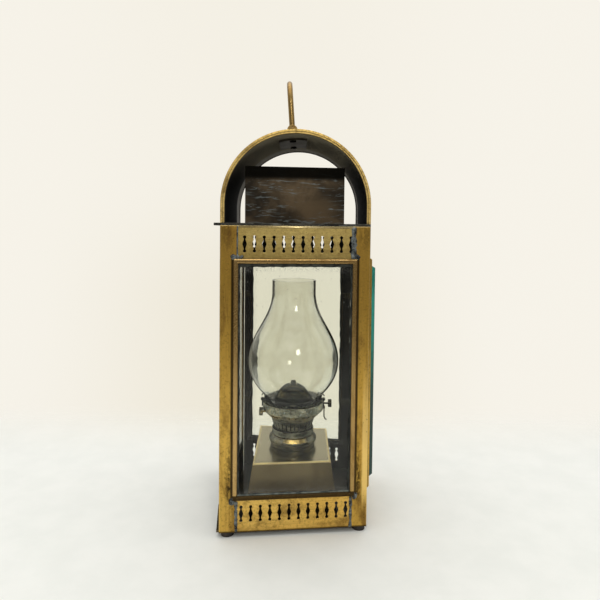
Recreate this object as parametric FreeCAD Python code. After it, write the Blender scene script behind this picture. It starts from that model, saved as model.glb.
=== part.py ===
import FreeCAD
import Part
import math
import os
from FreeCAD import Vector

# Brass oil lantern: glazed case, vaulted hood with a loop handle, hinged door, tank and duplex burner.
# X runs to the right, Y to the back, Z up. The origin is on the floor, under the middle of the case.
# Heights that start at the case's bottom edge are counted from there, above the feet.

# Case plan: a trapezium with its front and back faces drawing together towards the right
BODY_WIDTH = 150.0
LEFT_DEPTH = 166.0
RIGHT_DEPTH = 134.0

# Case heights and sheet
BODY_HEIGHT = 309.0
SILL_HEIGHT = 33.0
HEAD_HEIGHT = 33.0
SHEET = 1.2
POST_FLANGE = 17.0

# Base
FOOT_DIAMETER = 13.0
FOOT_HEIGHT = 5.0
FOOT_INSET = 7.5
KICK_HEIGHT = 28.0
KICK_OUT = 3.0
KICK_EDGE = 0.8
KICK_SETBACK = 2.0

# Vent holes: round ends, thin necks and a diamond between them
VENT_PITCH = 9.7
VENT_HEIGHT = 17.0
VENT_END = 3.2
VENT_NECK = 1.6
VENT_BULGE = 4.6
VENT_DIAMOND = 8.8
VENT_EDGE = 4.0
LOWER_VENT_Z = 19.0
UPPER_VENT_DROP = 18.2
UPPER_VENT_SHIFT = 2.0

# Fixed glazing
BEAD_WIDTH = 4.6
BEAD_HEIGHT = 2.2
BEAD_CHAMFER = 1.0
BEAD_LAP = 3.6
PANE = 2.0
PANE_LAP = 4.0
CLIP_SHEET = 0.8
CLIP_GAP = 0.2
CLIP_FOOT = 5.6
CLIP_FINGER = 4.0
CLIP_LENGTH = 8.0
CLIP_FROM_END = 50.0

# Door on the right side
DOOR_EDGE = 17.0
DOOR_LAP = 3.0
DOOR_SEAT = 0.4
DOOR_BAR = 7.5
DOOR_PROUD = 4.4
DOOR_CHAMFER = 1.2
GROOVE_FLOOR = 1.4
GROOVE_ROOF = 3.2
GROOVE_WEB = 3.5
DOOR_GLASS_GAP = 0.2
DOOR_GLASS_RISE = 4.6
DOOR_GLASS_BEVEL = 2.6
HINGE_RADIUS = 2.5
HINGE_OUT = 3.2
HINGE_GAP = 0.5
HINGE_LEAF = 0.9
HINGE_LEAF_WIDTH = 11.0
KNUCKLE = 8.0
KNUCKLE_GAP = 0.2
HINGE_PIN = 2.4
HINGE_PIN_HEAD = 4.0
HINGE_PIN_HEAD_HEIGHT = 1.0
PIN_SEAT = 0.02
PIN_RUN = 0.06
HINGE_FROM_END = 40.0
CATCH_GAP = 0.8
CATCH_SHEET = 0.8
CATCH_DEPTH = 4.0
CATCH_LENGTH = 20.0

# Deck, vent box and hood
DECK_SHEET = 2.6
DECK_LIP = 7.4
VENT_BOX_X = -1.75
VENT_BOX_WIDTH = 102.5
VENT_BOX_INSET = 22.0
VENT_BOX_HEIGHT = 58.4
HOOD_LEG = 18.4
FRONT_RIM_WIDTH = 4.2
BACK_RIM_WIDTH = 2.0
RIM_DEPTH = 3.2
RIM_STEP = 0.9

# Loop handle, set a little to the left of the ridge
HANDLE_TILT = 4.0
BAIL_ROD = 6.0
BAIL_WIDTH = 52.0
BAIL_HEIGHT = 56.0
BAIL_BEND_ROOM = 0.4
PIVOT_HEIGHT = 7.0
PIVOT_RUN = 0.06
PIN_PAST_EAR = 1.5
EAR_WIDTH = 11.0
EAR_THICKNESS = 3.0
EAR_GAP = 0.5
EAR_FOOT_LENGTH = 12.0
EAR_FOOT = 1.6
RIVET = 4.0
RIVET_HEAD = 7.0
RIVET_HEAD_HEIGHT = 1.3
RIVET_GAP = 0.05
BACKING_WIDTH = 30.0
BACKING_SHEET = 2.0
CURVED_SEAT = 0.1

# Oil tank
LAMP_X = -2.6
TANK_WIDTH = 82.0
TANK_DEPTH = 103.0
TANK_TOP = 60.0
TANK_SHOULDER = 32.0
TANK_FLARE = 5.0
TANK_SHEET = 1.0
STOP_GAP = 0.4
STOP_LENGTH = 14.0
STOP_HEIGHT = 8.0

# Burner
COLLAR_BORE = 38.0
COLLAR_DIAMETER = 53.6
COLLAR_HEIGHT = 13.0
COLLAR_BEAD = 1.8
CARRIER_SHEET = 1.2
NECK_DIAMETER = 47.0
NECK_HEIGHT = 6.0
BAND_WAIST = 42.4
BAND_MOUTH = 49.6
BAND_HEIGHT = 17.8
BURNER_SHEET = 1.2
AIR_SLOTS = 30
AIR_SLOT_WIDTH = 1.7
AIR_SLOT_HEIGHT = 8.0
GALLERY_DIAMETER = 69.0
GALLERY_HEIGHT = 18.5
GALLERY_RISE = 8.0
GALLERY_CHAMFER = 1.5
GALLERY_BORE = 36.0
GALLERY_HOLES = 28
GALLERY_HOLE = 2.6
GALLERY_HOLE_DROP = 11.6
DOME_DIAMETER = 39.6
DOME_SHEET = 0.8
DOME_TAB_WIDTH = 5.2
DOME_TAB_SHEET = 1.2
DOME_TAB_RISE = 3.2
DOME_NOTCH = 1.7
DOME_NOTCH_DEPTH = 2.4

# Wicks, their tubes and winders
WICK_WIDTH = 22.0
WICK_THICKNESS = 2.2
WICK_OFFSET = 9.5
WICK_PROUD = 2.0
WICK_END_ABOVE_TANK_FLOOR = 17.0
TUBE_GAP = 0.4
TUBE_SHEET = 0.6
TUBE_ABOVE_GALLERY = 11.5
TUBE_BELOW_CARRIER = 4.0
SLOT_GAP = 0.5
WHEEL_DIAMETER = 9.2
WHEEL_ROOT = 7.4
WHEEL_TEETH = 12
WHEEL_THICKNESS = 1.6
WHEEL_SPACING = 6.0
WHEEL_GAP = 0.3
WINDOW_GAP = 0.5
SHAFT = 2.0
SHAFT_RUN = 0.06
SHAFT_SEAT = 0.02
SHAFT_END = 1.5
BEARING_EAR = 1.0
BEARING_EAR_HALF = 2.6
WINDER_DROP = 8.5
KNOB_DIAMETER = 9.0
KNOB_THICKNESS = 4.0
KNOB_GROOVE = 0.7
KNOB_FLUTES = 14
KNOB_GAP = 0.8
REAR_KNOB_OUT = 7.5

# Chimney and what holds it
CHIMNEY_FOOT = 50.6
CHIMNEY_BULGE = 102.6
CHIMNEY_NECK = 49.4
CHIMNEY_HEIGHT = 137.5
CHIMNEY_LIP = 2.0
CHIMNEY_BULGE_HEIGHT = 46.0
CHIMNEY_NECK_LENGTH = 13.5
CHIMNEY_GLASS = 2.0
CHIMNEY_SEAT = 0.3
FLARE_REACH = 10.0
FLARE_RISE = 6.5
BULGE_LOWER_EASE = 22.0
BULGE_UPPER_EASE = 31.0
CHIMNEY_CLIPS = 4
CHIMNEY_CLIP_GAP = 1.2
CHIMNEY_CLIP_WIDTH = 6.0
CHIMNEY_CLIP_SHEET = 0.9
CHIMNEY_CLIP_RISE = 2.5
CHIMNEY_CLIP_DROP = 6.5
WIRE = 1.4
WIRE_LUG_DEPTH = 2.2
WIRE_LUG_WIDTH = 3.0
WIRE_LUG_HEIGHT = 3.0
WIRE_LUG_GAP = 0.1
WIRE_DROP = 14.0
WIRE_HOOK_RADIUS = 6.0
WIRE_HOOK_TURN = 60.0

# Levels and angles worked out from the sizes above
SLOPE = (LEFT_DEPTH - RIGHT_DEPTH) / 2 / BODY_WIDTH
SLANT_COS = 1 / math.hypot(1, SLOPE)
BASE_Z = FOOT_HEIGHT
FLOOR_Z = BASE_Z + SHEET
SILL_Z = BASE_Z + SILL_HEIGHT
HEAD_Z = BASE_Z + BODY_HEIGHT - HEAD_HEIGHT
DECK_Z = BASE_Z + BODY_HEIGHT
HOOD_Z = DECK_Z + DECK_SHEET
HOOD_RADIUS = BODY_WIDTH / 2
HOOD_AXIS_Z = HOOD_Z + HOOD_LEG
HOOD_TOP_Z = HOOD_AXIS_Z + HOOD_RADIUS
TANK_TOP_Z = BASE_Z + TANK_TOP
SHOULDER_Z = TANK_TOP_Z - TANK_SHOULDER
CARRIER_Z = TANK_TOP_Z + COLLAR_HEIGHT
BAND_Z = CARRIER_Z + CARRIER_SHEET
GALLERY_Z = BAND_Z + BAND_HEIGHT
SEAT_Z = GALLERY_Z + GALLERY_HEIGHT
WINDER_Z = SEAT_Z - WINDER_DROP
WINDER_Y = WICK_OFFSET + WICK_THICKNESS / 2 + WHEEL_GAP + WHEEL_DIAMETER / 2
TUBE_HALF_X = WICK_WIDTH / 2 + TUBE_GAP + TUBE_SHEET
TUBE_HALF_Y = WICK_THICKNESS / 2 + TUBE_GAP + TUBE_SHEET
TUBE_TOP_Z = SEAT_Z + TUBE_ABOVE_GALLERY
# Room beyond a face, so that a cut passes right through
PAST = 5.0

FACE_NAMES = ("front", "right", "back", "left")
FLANGE = {
    "front": POST_FLANGE,
    "right": DOOR_EDGE + DOOR_LAP,
    "back": POST_FLANGE,
    "left": POST_FLANGE,
}
# Overlap of the frame or door on the wall round each face's opening
LAP = {"front": BEAD_LAP, "right": DOOR_LAP, "back": BEAD_LAP, "left": BEAD_LAP}


def half_depth(x):
    """Distance from the middle plane to the front or back face."""
    return (LEFT_DEPTH + RIGHT_DEPTH) / 4 - SLOPE * x


def slanted_plan(left, right, inset):
    """Plan between two X values, its front and back parallel to the case's faces and moved in."""
    left_half = half_depth(left) - inset / SLANT_COS
    right_half = half_depth(right) - inset / SLANT_COS
    return [(left, -left_half), (right, -right_half), (right, right_half), (left, left_half)]


def case_plan(inset):
    """Corners of the case, moved in from all four faces: front left, front right, back right, back left."""
    side = BODY_WIDTH / 2 - inset
    return slanted_plan(-side, side, inset)


def tank_plan(grow):
    """Corners of the tank's top, moved out on all four sides."""
    reach = TANK_WIDTH / 2 + grow
    middle = TANK_DEPTH / 2 + grow / SLANT_COS
    left_half = middle + SLOPE * reach
    right_half = middle - SLOPE * reach
    left = LAMP_X - reach
    right = LAMP_X + reach
    return [(left, -left_half), (right, -right_half), (right, right_half), (left, left_half)]


def polygon(points):
    """Flat face through points in space."""
    return Part.Face(Part.makePolygon(points + points[:1]))


def prism(points, bottom, top):
    """Plan outline raised from one height to another."""
    return polygon([Vector(x, y, bottom) for x, y in points]).extrude(Vector(0, 0, top - bottom))


def frustum(lower, bottom, upper, top):
    """Solid with flat sides between two outlines that have the same number of corners."""
    low = [Vector(x, y, bottom) for x, y in lower]
    high = [Vector(x, y, top) for x, y in upper]
    faces = [polygon(low), polygon(high)]
    for i in range(len(low)):
        j = (i + 1) % len(low)
        faces.append(polygon([low[i], low[j], high[j], high[i]]))
    solid = Part.makeSolid(Part.makeShell(faces))
    return solid if solid.Volume > 0 else solid.reversed()


def box(low, high):
    """Box between two opposite corners."""
    size = [b - a for a, b in zip(low, high)]
    return Part.makeBox(size[0], size[1], size[2], Vector(*low))


def cylinder(radius, start, direction, length):
    """Round bar."""
    return Part.makeCylinder(radius, length, start, direction)


def turned(profile):
    """Body of revolution about the lamp's axis from radius and height pairs."""
    face = polygon([Vector(LAMP_X + r, 0, z) for r, z in profile])
    return face.revolve(Vector(LAMP_X, 0, 0), Vector(0, 0, 1), 360)


def round_lamp(shape, count):
    """Copies of a shape spaced evenly about the lamp's axis."""
    copies = []
    for i in range(count):
        copy = shape.copy()
        copy.rotate(Vector(LAMP_X, 0, 0), Vector(0, 0, 1), 360 * i / count)
        copies.append(copy)
    return copies


def solids(shapes):
    """One compound of all the solids in some shapes."""
    return Part.makeCompound([solid for shape in shapes for solid in shape.Solids])


# Faces of the case: a middle point, the direction to the right as seen from outside, and half the length
FACES = {
    "front": (Vector(0, -half_depth(0), 0), Vector(1, SLOPE, 0).normalize(), BODY_WIDTH / 2 / SLANT_COS),
    "right": (Vector(BODY_WIDTH / 2, 0, 0), Vector(0, 1, 0), RIGHT_DEPTH / 2),
    "back": (Vector(0, half_depth(0), 0), Vector(-1, SLOPE, 0).normalize(), BODY_WIDTH / 2 / SLANT_COS),
    "left": (Vector(-BODY_WIDTH / 2, 0, 0), Vector(0, -1, 0), LEFT_DEPTH / 2),
}


def on_face(shape, face):
    """Move a shape drawn as (along, up, outward) to a face of the case."""
    middle, along, _ = FACES[face]
    out = along.cross(Vector(0, 0, 1))
    matrix = FreeCAD.Matrix(along.x, 0, out.x, middle.x, along.y, 0, out.y, middle.y, 0, 1, 0, 0, 0, 0, 0, 1)
    placed = shape.copy()
    placed.Placement = FreeCAD.Placement(matrix).multiply(placed.Placement)
    return placed


def opening(face):
    """Half width, bottom and top of the hole in the wall of a face."""
    half = FACES[face][2] - FLANGE[face]
    return half, SILL_Z + LAP[face], HEAD_Z - LAP[face]


def angle_section(corner, ahead, ahead_flange, behind, behind_flange):
    """Plan of a folded angle with its outer corner at a point and a flange towards each of two others."""
    start = Vector(*corner)
    to_ahead = (Vector(*ahead) - start).normalize()
    to_behind = (Vector(*behind) - start).normalize()
    cosine = to_ahead.dot(to_behind)
    in_from_ahead = (to_behind - to_ahead * cosine).normalize()
    in_from_behind = (to_ahead - to_behind * cosine).normalize()
    inner = start + (to_ahead + to_behind) * (SHEET / math.sqrt(1 - cosine ** 2))
    ahead_end = start + to_ahead * ahead_flange
    behind_end = start + to_behind * behind_flange
    corners = [start, ahead_end, ahead_end + in_from_ahead * SHEET]
    corners += [inner, behind_end + in_from_behind * SHEET, behind_end]
    return [(p.x, p.y) for p in corners]


def mitred_frame(half_width, bottom, top, section):
    """Four bars with mitred corners. The section gives depth from the outer edge and height off the face."""
    depth = max(d for d, _ in section)
    low = min(w for _, w in section) - PAST
    high = max(w for _, w in section) + PAST
    right = Vector(1, 0, 0)
    up = Vector(0, 1, 0)
    out = Vector(0, 0, 1)
    edges = [
        (Vector(-half_width, bottom, 0), right, up, 2 * half_width),
        (Vector(half_width, bottom, 0), up, -right, top - bottom),
        (Vector(half_width, top, 0), -right, -up, 2 * half_width),
        (Vector(-half_width, top, 0), -up, right, top - bottom),
    ]
    bars = []
    for corner, along, inward, length in edges:
        bar = polygon([corner + inward * d + out * w for d, w in section]).extrude(along * length)
        inner_start = corner + along * depth + inward * depth
        inner_end = corner + along * (length - depth) + inward * depth
        outline = [corner, corner + along * length, inner_end, inner_start]
        mitre = polygon([p + out * low for p in outline]).extrude(out * (high - low))
        bars.append(bar.common(mitre))
    return bars


def vent_hole(along, up):
    """Outline of one vent hole, cut through the wall."""
    neck = VENT_NECK / 2
    end = VENT_END / 2
    bulge = VENT_BULGE / 2
    diamond = VENT_DIAMOND / 2
    meet = VENT_HEIGHT / 2 - end - math.sqrt(end ** 2 - neck ** 2)
    side = [(neck, meet), (neck, diamond), (bulge, 0), (neck, -diamond), (neck, -meet)]
    right = [Vector(along + x, up + y, -SHEET - PAST) for x, y in side]
    left = [Vector(along - x, up - y, -SHEET - PAST) for x, y in side]
    lowest = Vector(along, up - VENT_HEIGHT / 2, -SHEET - PAST)
    highest = Vector(along, up + VENT_HEIGHT / 2, -SHEET - PAST)
    edges = [Part.makeLine(a, b) for a, b in zip(right, right[1:])]
    edges.append(Part.Arc(right[-1], lowest, left[0]).toShape())
    edges += [Part.makeLine(a, b) for a, b in zip(left, left[1:])]
    edges.append(Part.Arc(left[-1], highest, right[0]).toShape())
    return Part.Face(Part.Wire(edges)).extrude(Vector(0, 0, SHEET + 2 * PAST))


def vent_strip(face, bottom, top, vent_z, shift):
    """Pierced wall strip between two posts, with the row of holes moved along it by the shift."""
    half = FACES[face][2] - FLANGE[face]
    gaps = int((2 * half - 2 * VENT_EDGE) // VENT_PITCH)
    first = shift - gaps * VENT_PITCH / 2
    holes = [vent_hole(first + i * VENT_PITCH, vent_z) for i in range(gaps + 1)]
    strip = box((-half, bottom, -SHEET), (half, top, 0))
    return on_face(strip.cut(Part.makeCompound(holes)), face)


def make_walls():
    """Corner posts and pierced strips."""
    parts = {}
    corners = case_plan(0)
    corner_names = ("front_left", "front_right", "back_right", "back_left")
    for i, name in enumerate(corner_names):
        ahead = FLANGE[FACE_NAMES[i]]
        behind = FLANGE[FACE_NAMES[i - 1]]
        section = angle_section(corners[i], corners[(i + 1) % 4], ahead, corners[i - 1], behind)
        parts["corner_post_" + name] = prism(section, BASE_Z, DECK_Z)
    for face in FACE_NAMES:
        _, bottom, top = opening(face)
        parts["lower_vent_" + face] = vent_strip(face, BASE_Z, bottom, BASE_Z + LOWER_VENT_Z, 0)
        upper_z = DECK_Z - UPPER_VENT_DROP
        parts["upper_vent_" + face] = vent_strip(face, top, DECK_Z, upper_z, UPPER_VENT_SHIFT)
    return parts


def make_base():
    """Base plate, feet, the flared lip at the bottom of the left side and the stops round the tank."""
    plate = prism(case_plan(SHEET), BASE_Z, FLOOR_Z)
    up = Vector(0, 0, 1)
    feet = [cylinder(FOOT_DIAMETER / 2, Vector(x, y, 0), up, FOOT_HEIGHT) for x, y in case_plan(FOOT_INSET)]
    half = FACES["left"][2] - KICK_SETBACK
    top = BASE_Z + KICK_HEIGHT
    section = [(BASE_Z, 0), (BASE_Z, KICK_OUT), (top, KICK_EDGE), (top, 0)]
    kick = polygon([Vector(-half, z, w) for z, w in section]).extrude(Vector(2 * half, 0, 0))
    corners = tank_plan(TANK_FLARE + STOP_GAP + SHEET)
    stops = []
    for i in range(4):
        ahead = corners[(i + 1) % 4]
        section = angle_section(corners[i], ahead, STOP_LENGTH, corners[i - 1], STOP_LENGTH)
        stops.append(prism(section, FLOOR_Z, FLOOR_Z + STOP_HEIGHT))
    return {
        "base_plate": plate,
        "feet": solids(feet),
        "left_kick_lip": on_face(kick, "left"),
        "tank_stops": solids(stops),
    }


def glazing_clip(edge, side):
    """Bent clip on the back of a post, with a finger behind the pane's edge."""
    back = -SHEET - PANE - CLIP_GAP
    root = edge + CLIP_GAP
    riser = root + CLIP_SHEET
    toe = riser + CLIP_FOOT
    tip = edge - CLIP_FINGER
    outline = [(root, -SHEET), (toe, -SHEET), (toe, -SHEET - CLIP_SHEET), (riser, -SHEET - CLIP_SHEET)]
    outline += [(riser, back - CLIP_SHEET), (tip, back - CLIP_SHEET), (tip, back), (root, back)]
    face = polygon([Vector(side * u, -CLIP_LENGTH / 2, w) for u, w in outline])
    return face.extrude(Vector(0, CLIP_LENGTH, 0))


def make_glazing():
    """Bead frames, panes and clips of the three fixed faces."""
    parts = {}
    clips = []
    top = BEAD_HEIGHT
    section = [(0, 0), (0, top - BEAD_CHAMFER), (BEAD_CHAMFER, top), (BEAD_WIDTH - BEAD_CHAMFER, top)]
    section += [(BEAD_WIDTH, top - BEAD_CHAMFER), (BEAD_WIDTH, 0)]
    for face in ("front", "back", "left"):
        half, low, high = opening(face)
        bars = mitred_frame(half + BEAD_LAP, SILL_Z, HEAD_Z, section)
        parts["glass_frame_" + face] = on_face(solids(bars), face)
        edge = half + PANE_LAP
        pane = box((-edge, low - PANE_LAP, -SHEET - PANE), (edge, high + PANE_LAP, -SHEET))
        parts["pane_" + face] = on_face(pane, face)
        for side in (-1, 1):
            for height in (low + CLIP_FROM_END, high - CLIP_FROM_END):
                clip = glazing_clip(edge, side)
                clip.translate(Vector(0, height, 0))
                clips.append(on_face(clip, face))
    parts["glazing_clips"] = solids(clips)
    return parts


def make_door():
    """Door frame, bevelled glass, hinges and catch, with the hinge parts that stay on the post."""
    half = FACES["right"][2] - DOOR_EDGE
    section = [(0, DOOR_SEAT), (0, DOOR_PROUD - DOOR_CHAMFER), (DOOR_CHAMFER, DOOR_PROUD)]
    section += [(DOOR_BAR, DOOR_PROUD), (DOOR_BAR, GROOVE_ROOF), (GROOVE_WEB, GROOVE_ROOF)]
    section += [(GROOVE_WEB, GROOVE_FLOOR), (DOOR_BAR, GROOVE_FLOOR), (DOOR_BAR, DOOR_SEAT)]
    frame = solids(mitred_frame(half, SILL_Z, HEAD_Z, section))

    rim_low = GROOVE_FLOOR + DOOR_GLASS_GAP
    rim_high = GROOVE_ROOF - DOOR_GLASS_GAP
    rim_in = GROOVE_WEB + DOOR_GLASS_GAP
    face_in = DOOR_BAR + DOOR_GLASS_GAP

    def sheet(inset):
        across = half - inset
        low = SILL_Z + inset
        high = HEAD_Z - inset
        return [(-across, low), (across, low), (across, high), (-across, high)]

    glass = prism(sheet(rim_in), rim_low, rim_high)
    glass = glass.fuse(prism(sheet(face_in), rim_high, DOOR_PROUD))
    crown = DOOR_PROUD + DOOR_GLASS_RISE
    bevel = frustum(sheet(face_in), DOOR_PROUD, sheet(face_in + DOOR_GLASS_BEVEL), crown)
    glass = glass.fuse(bevel).removeSplitter()

    axis = half + HINGE_LEAF + HINGE_GAP + HINGE_RADIUS
    up = Vector(0, 1, 0)
    post_leaves = []
    door_leaves = []
    pins = []
    reach = 1.5 * KNUCKLE
    inner = KNUCKLE / 2 - KNUCKLE_GAP
    for middle in (SILL_Z + HINGE_FROM_END, HEAD_Z - HINGE_FROM_END):
        base = Vector(axis, middle - reach, HINGE_OUT)
        barrel = cylinder(HINGE_RADIUS, base, up, 2 * reach)
        post_leaf = box((axis, middle - reach, 0), (axis + HINGE_LEAF_WIDTH, middle + reach, HINGE_LEAF))
        web = box((axis, middle - reach, 0), (axis + HINGE_RADIUS, middle + reach, HINGE_OUT))
        clear = HINGE_RADIUS + HINGE_GAP
        notch_low = (axis - clear, middle - KNUCKLE / 2, -PAST)
        notch = box(notch_low, (axis + clear, middle + KNUCKLE / 2, PAST + HINGE_OUT))
        seat = cylinder(HINGE_PIN / 2 + PIN_SEAT, base - up * PAST, up, 2 * (reach + PAST))
        post_leaves.append(post_leaf.fuse([web, barrel]).cut(notch).cut(seat).removeSplitter())
        leaf_low = (half, middle - reach, DOOR_SEAT + HINGE_GAP)
        leaf = box(leaf_low, (half + HINGE_LEAF, middle + reach, DOOR_PROUD - DOOR_CHAMFER))
        knuckle = cylinder(HINGE_RADIUS, Vector(axis, middle - inner, HINGE_OUT), up, 2 * inner)
        arm_half = HINGE_PIN / 2
        arm = box((half, middle - inner, HINGE_OUT - arm_half), (axis, middle + inner, HINGE_OUT + arm_half))
        run = cylinder(HINGE_PIN / 2 + PIN_RUN, base, up, 2 * reach)
        door_leaves.append(leaf.fuse([arm, knuckle]).cut(run).removeSplitter())
        pin = cylinder(HINGE_PIN / 2, base, up, 2 * reach)
        head = cylinder(HINGE_PIN_HEAD / 2, base + up * 2 * reach, up, HINGE_PIN_HEAD_HEIGHT)
        pins.append(pin.fuse(head).removeSplitter())

    clear_edge = opening("right")[0] - CATCH_GAP
    middle = (SILL_Z + HEAD_Z) / 2
    low = middle - CATCH_LENGTH / 2
    high = middle + CATCH_LENGTH / 2
    tongue = box((-clear_edge, low, DOOR_SEAT - CATCH_DEPTH), (CATCH_SHEET - clear_edge, high, DOOR_SEAT))
    root = box((-clear_edge, low, DOOR_SEAT - CATCH_SHEET), (DOOR_BAR - half, high, DOOR_SEAT))
    catch = tongue.fuse(root).removeSplitter()

    local = {
        "door_frame": frame,
        "door_glass": glass,
        "door_hinge_leaves": solids(door_leaves),
        "door_catch": catch,
        "post_hinge_leaves": solids(post_leaves),
        "hinge_pins": solids(pins),
    }
    return {name: on_face(shape, "right") for name, shape in local.items()}


def arch(radius, bottom):
    """Solid under a round arch on straight legs, running past both ends of the case."""
    run = LEFT_DEPTH
    left_foot = Vector(-radius, -run, bottom)
    right_foot = Vector(radius, -run, bottom)
    left_spring = Vector(-radius, -run, HOOD_AXIS_Z)
    right_spring = Vector(radius, -run, HOOD_AXIS_Z)
    crown = Vector(0, -run, HOOD_AXIS_Z + radius)
    edges = [Part.makeLine(left_foot, right_foot), Part.makeLine(right_foot, right_spring)]
    edges.append(Part.Arc(right_spring, crown, left_spring).toShape())
    edges.append(Part.makeLine(left_spring, left_foot))
    return Part.Face(Part.Wire(edges)).extrude(Vector(0, 2 * run, 0))


def vault(outer, inner):
    """Arched sheet between two radii."""
    return arch(outer, HOOD_Z).cut(arch(inner, HOOD_Z - PAST))


def between_ends(inset):
    """Everything between the front and back planes, both moved in."""
    reach = BODY_WIDTH / 2 + DECK_LIP
    return prism(slanted_plan(-reach, reach, inset), DECK_Z - PAST, HOOD_TOP_Z + PAST)


def tilted(shape):
    """Lean a shape drawn upright on the ridge to the handle's place."""
    leaning = shape.copy()
    leaning.rotate(Vector(0, 0, HOOD_AXIS_Z), Vector(0, 1, 0), -HANDLE_TILT)
    return leaning


def ear_inner_face():
    """Distance from the middle of the handle to the near face of an ear."""
    return BAIL_WIDTH / 2 + BAIL_ROD / 2 + EAR_GAP


def rivet_axes():
    """Middle of each rivet on the ridge, before leaning."""
    along = ear_inner_face() - EAR_FOOT_LENGTH / 2
    return [Vector(0, -along, HOOD_TOP_Z), Vector(0, along, HOOD_TOP_Z)]


def hood_rims(width):
    """Stepped rims of one width at the front and back end of the hood."""
    inner = vault(HOOD_RADIUS, HOOD_RADIUS - width).common(between_ends(RIM_STEP))
    outer = vault(HOOD_RADIUS, HOOD_RADIUS - width / 2).common(between_ends(0))
    rims = inner.fuse(outer).cut(between_ends(RIM_DEPTH)).removeSplitter()
    return sorted(rims.Solids, key=lambda solid: solid.CenterOfMass.y)


def make_hood():
    """Deck plate, vent box, hood and its two wired rims."""
    up = Vector(0, 0, 1)
    left_half = LEFT_DEPTH / 2
    lip_x = -BODY_WIDTH / 2 - DECK_LIP
    outline = case_plan(0) + [(lip_x, left_half - DECK_LIP), (lip_x, DECK_LIP - left_half)]
    box_left = VENT_BOX_X - VENT_BOX_WIDTH / 2
    box_right = VENT_BOX_X + VENT_BOX_WIDTH / 2
    flue = slanted_plan(box_left + SHEET, box_right - SHEET, VENT_BOX_INSET + SHEET)
    deck = prism(outline, DECK_Z, HOOD_Z).cut(prism(flue, DECK_Z - PAST, HOOD_Z + PAST))

    box_top = HOOD_Z + VENT_BOX_HEIGHT
    outside = prism(slanted_plan(box_left, box_right, VENT_BOX_INSET), HOOD_Z, box_top)
    middle = prism(slanted_plan(box_left, box_right, VENT_BOX_INSET + SHEET), HOOD_Z, box_top)
    walls = [outside.cut(middle), middle.cut(prism(flue, HOOD_Z, box_top))]

    shell = vault(HOOD_RADIUS, HOOD_RADIUS - SHEET).common(between_ends(RIM_DEPTH))
    for point in rivet_axes():
        hole = cylinder(RIVET / 2 + RIVET_GAP, point - up * 2 * PAST, up, 4 * PAST)
        shell = shell.cut(tilted(hole))
    front = hood_rims(FRONT_RIM_WIDTH)[0]
    back = hood_rims(BACK_RIM_WIDTH)[1]
    return {
        "deck_plate": deck,
        "vent_box": solids(walls),
        "hood_shell": shell,
        "hood_rim_front": front,
        "hood_rim_back": back,
    }


def bail_path():
    """Middle line of the loop handle: pins at the ends, upright legs and a half-round top."""
    pivot_z = HOOD_TOP_Z + PIVOT_HEIGHT
    bend = BAIL_ROD / 2 + BAIL_BEND_ROOM
    leg = BAIL_WIDTH / 2
    end = ear_inner_face() + EAR_THICKNESS + PIN_PAST_EAR
    spring_z = pivot_z + BAIL_HEIGHT - leg
    middle_in = bend * (1 - math.sqrt(0.5))
    edges = []
    for side in (-1, 1):
        pin_end = Vector(0, side * end, pivot_z)
        pin_root = Vector(0, side * (leg + bend), pivot_z)
        turn = Vector(0, side * (leg + middle_in), pivot_z + middle_in)
        leg_foot = Vector(0, side * leg, pivot_z + bend)
        leg_top = Vector(0, side * leg, spring_z)
        half = [Part.makeLine(pin_end, pin_root), Part.Arc(pin_root, turn, leg_foot).toShape()]
        half.append(Part.makeLine(leg_foot, leg_top))
        edges.append(half)
    crown = Vector(0, 0, pivot_z + BAIL_HEIGHT)
    bow = Part.Arc(Vector(0, -leg, spring_z), crown, Vector(0, leg, spring_z)).toShape()
    return Part.Wire(Part.__sortEdges__(edges[0] + [bow] + edges[1])), Vector(0, -end, pivot_z)


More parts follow.
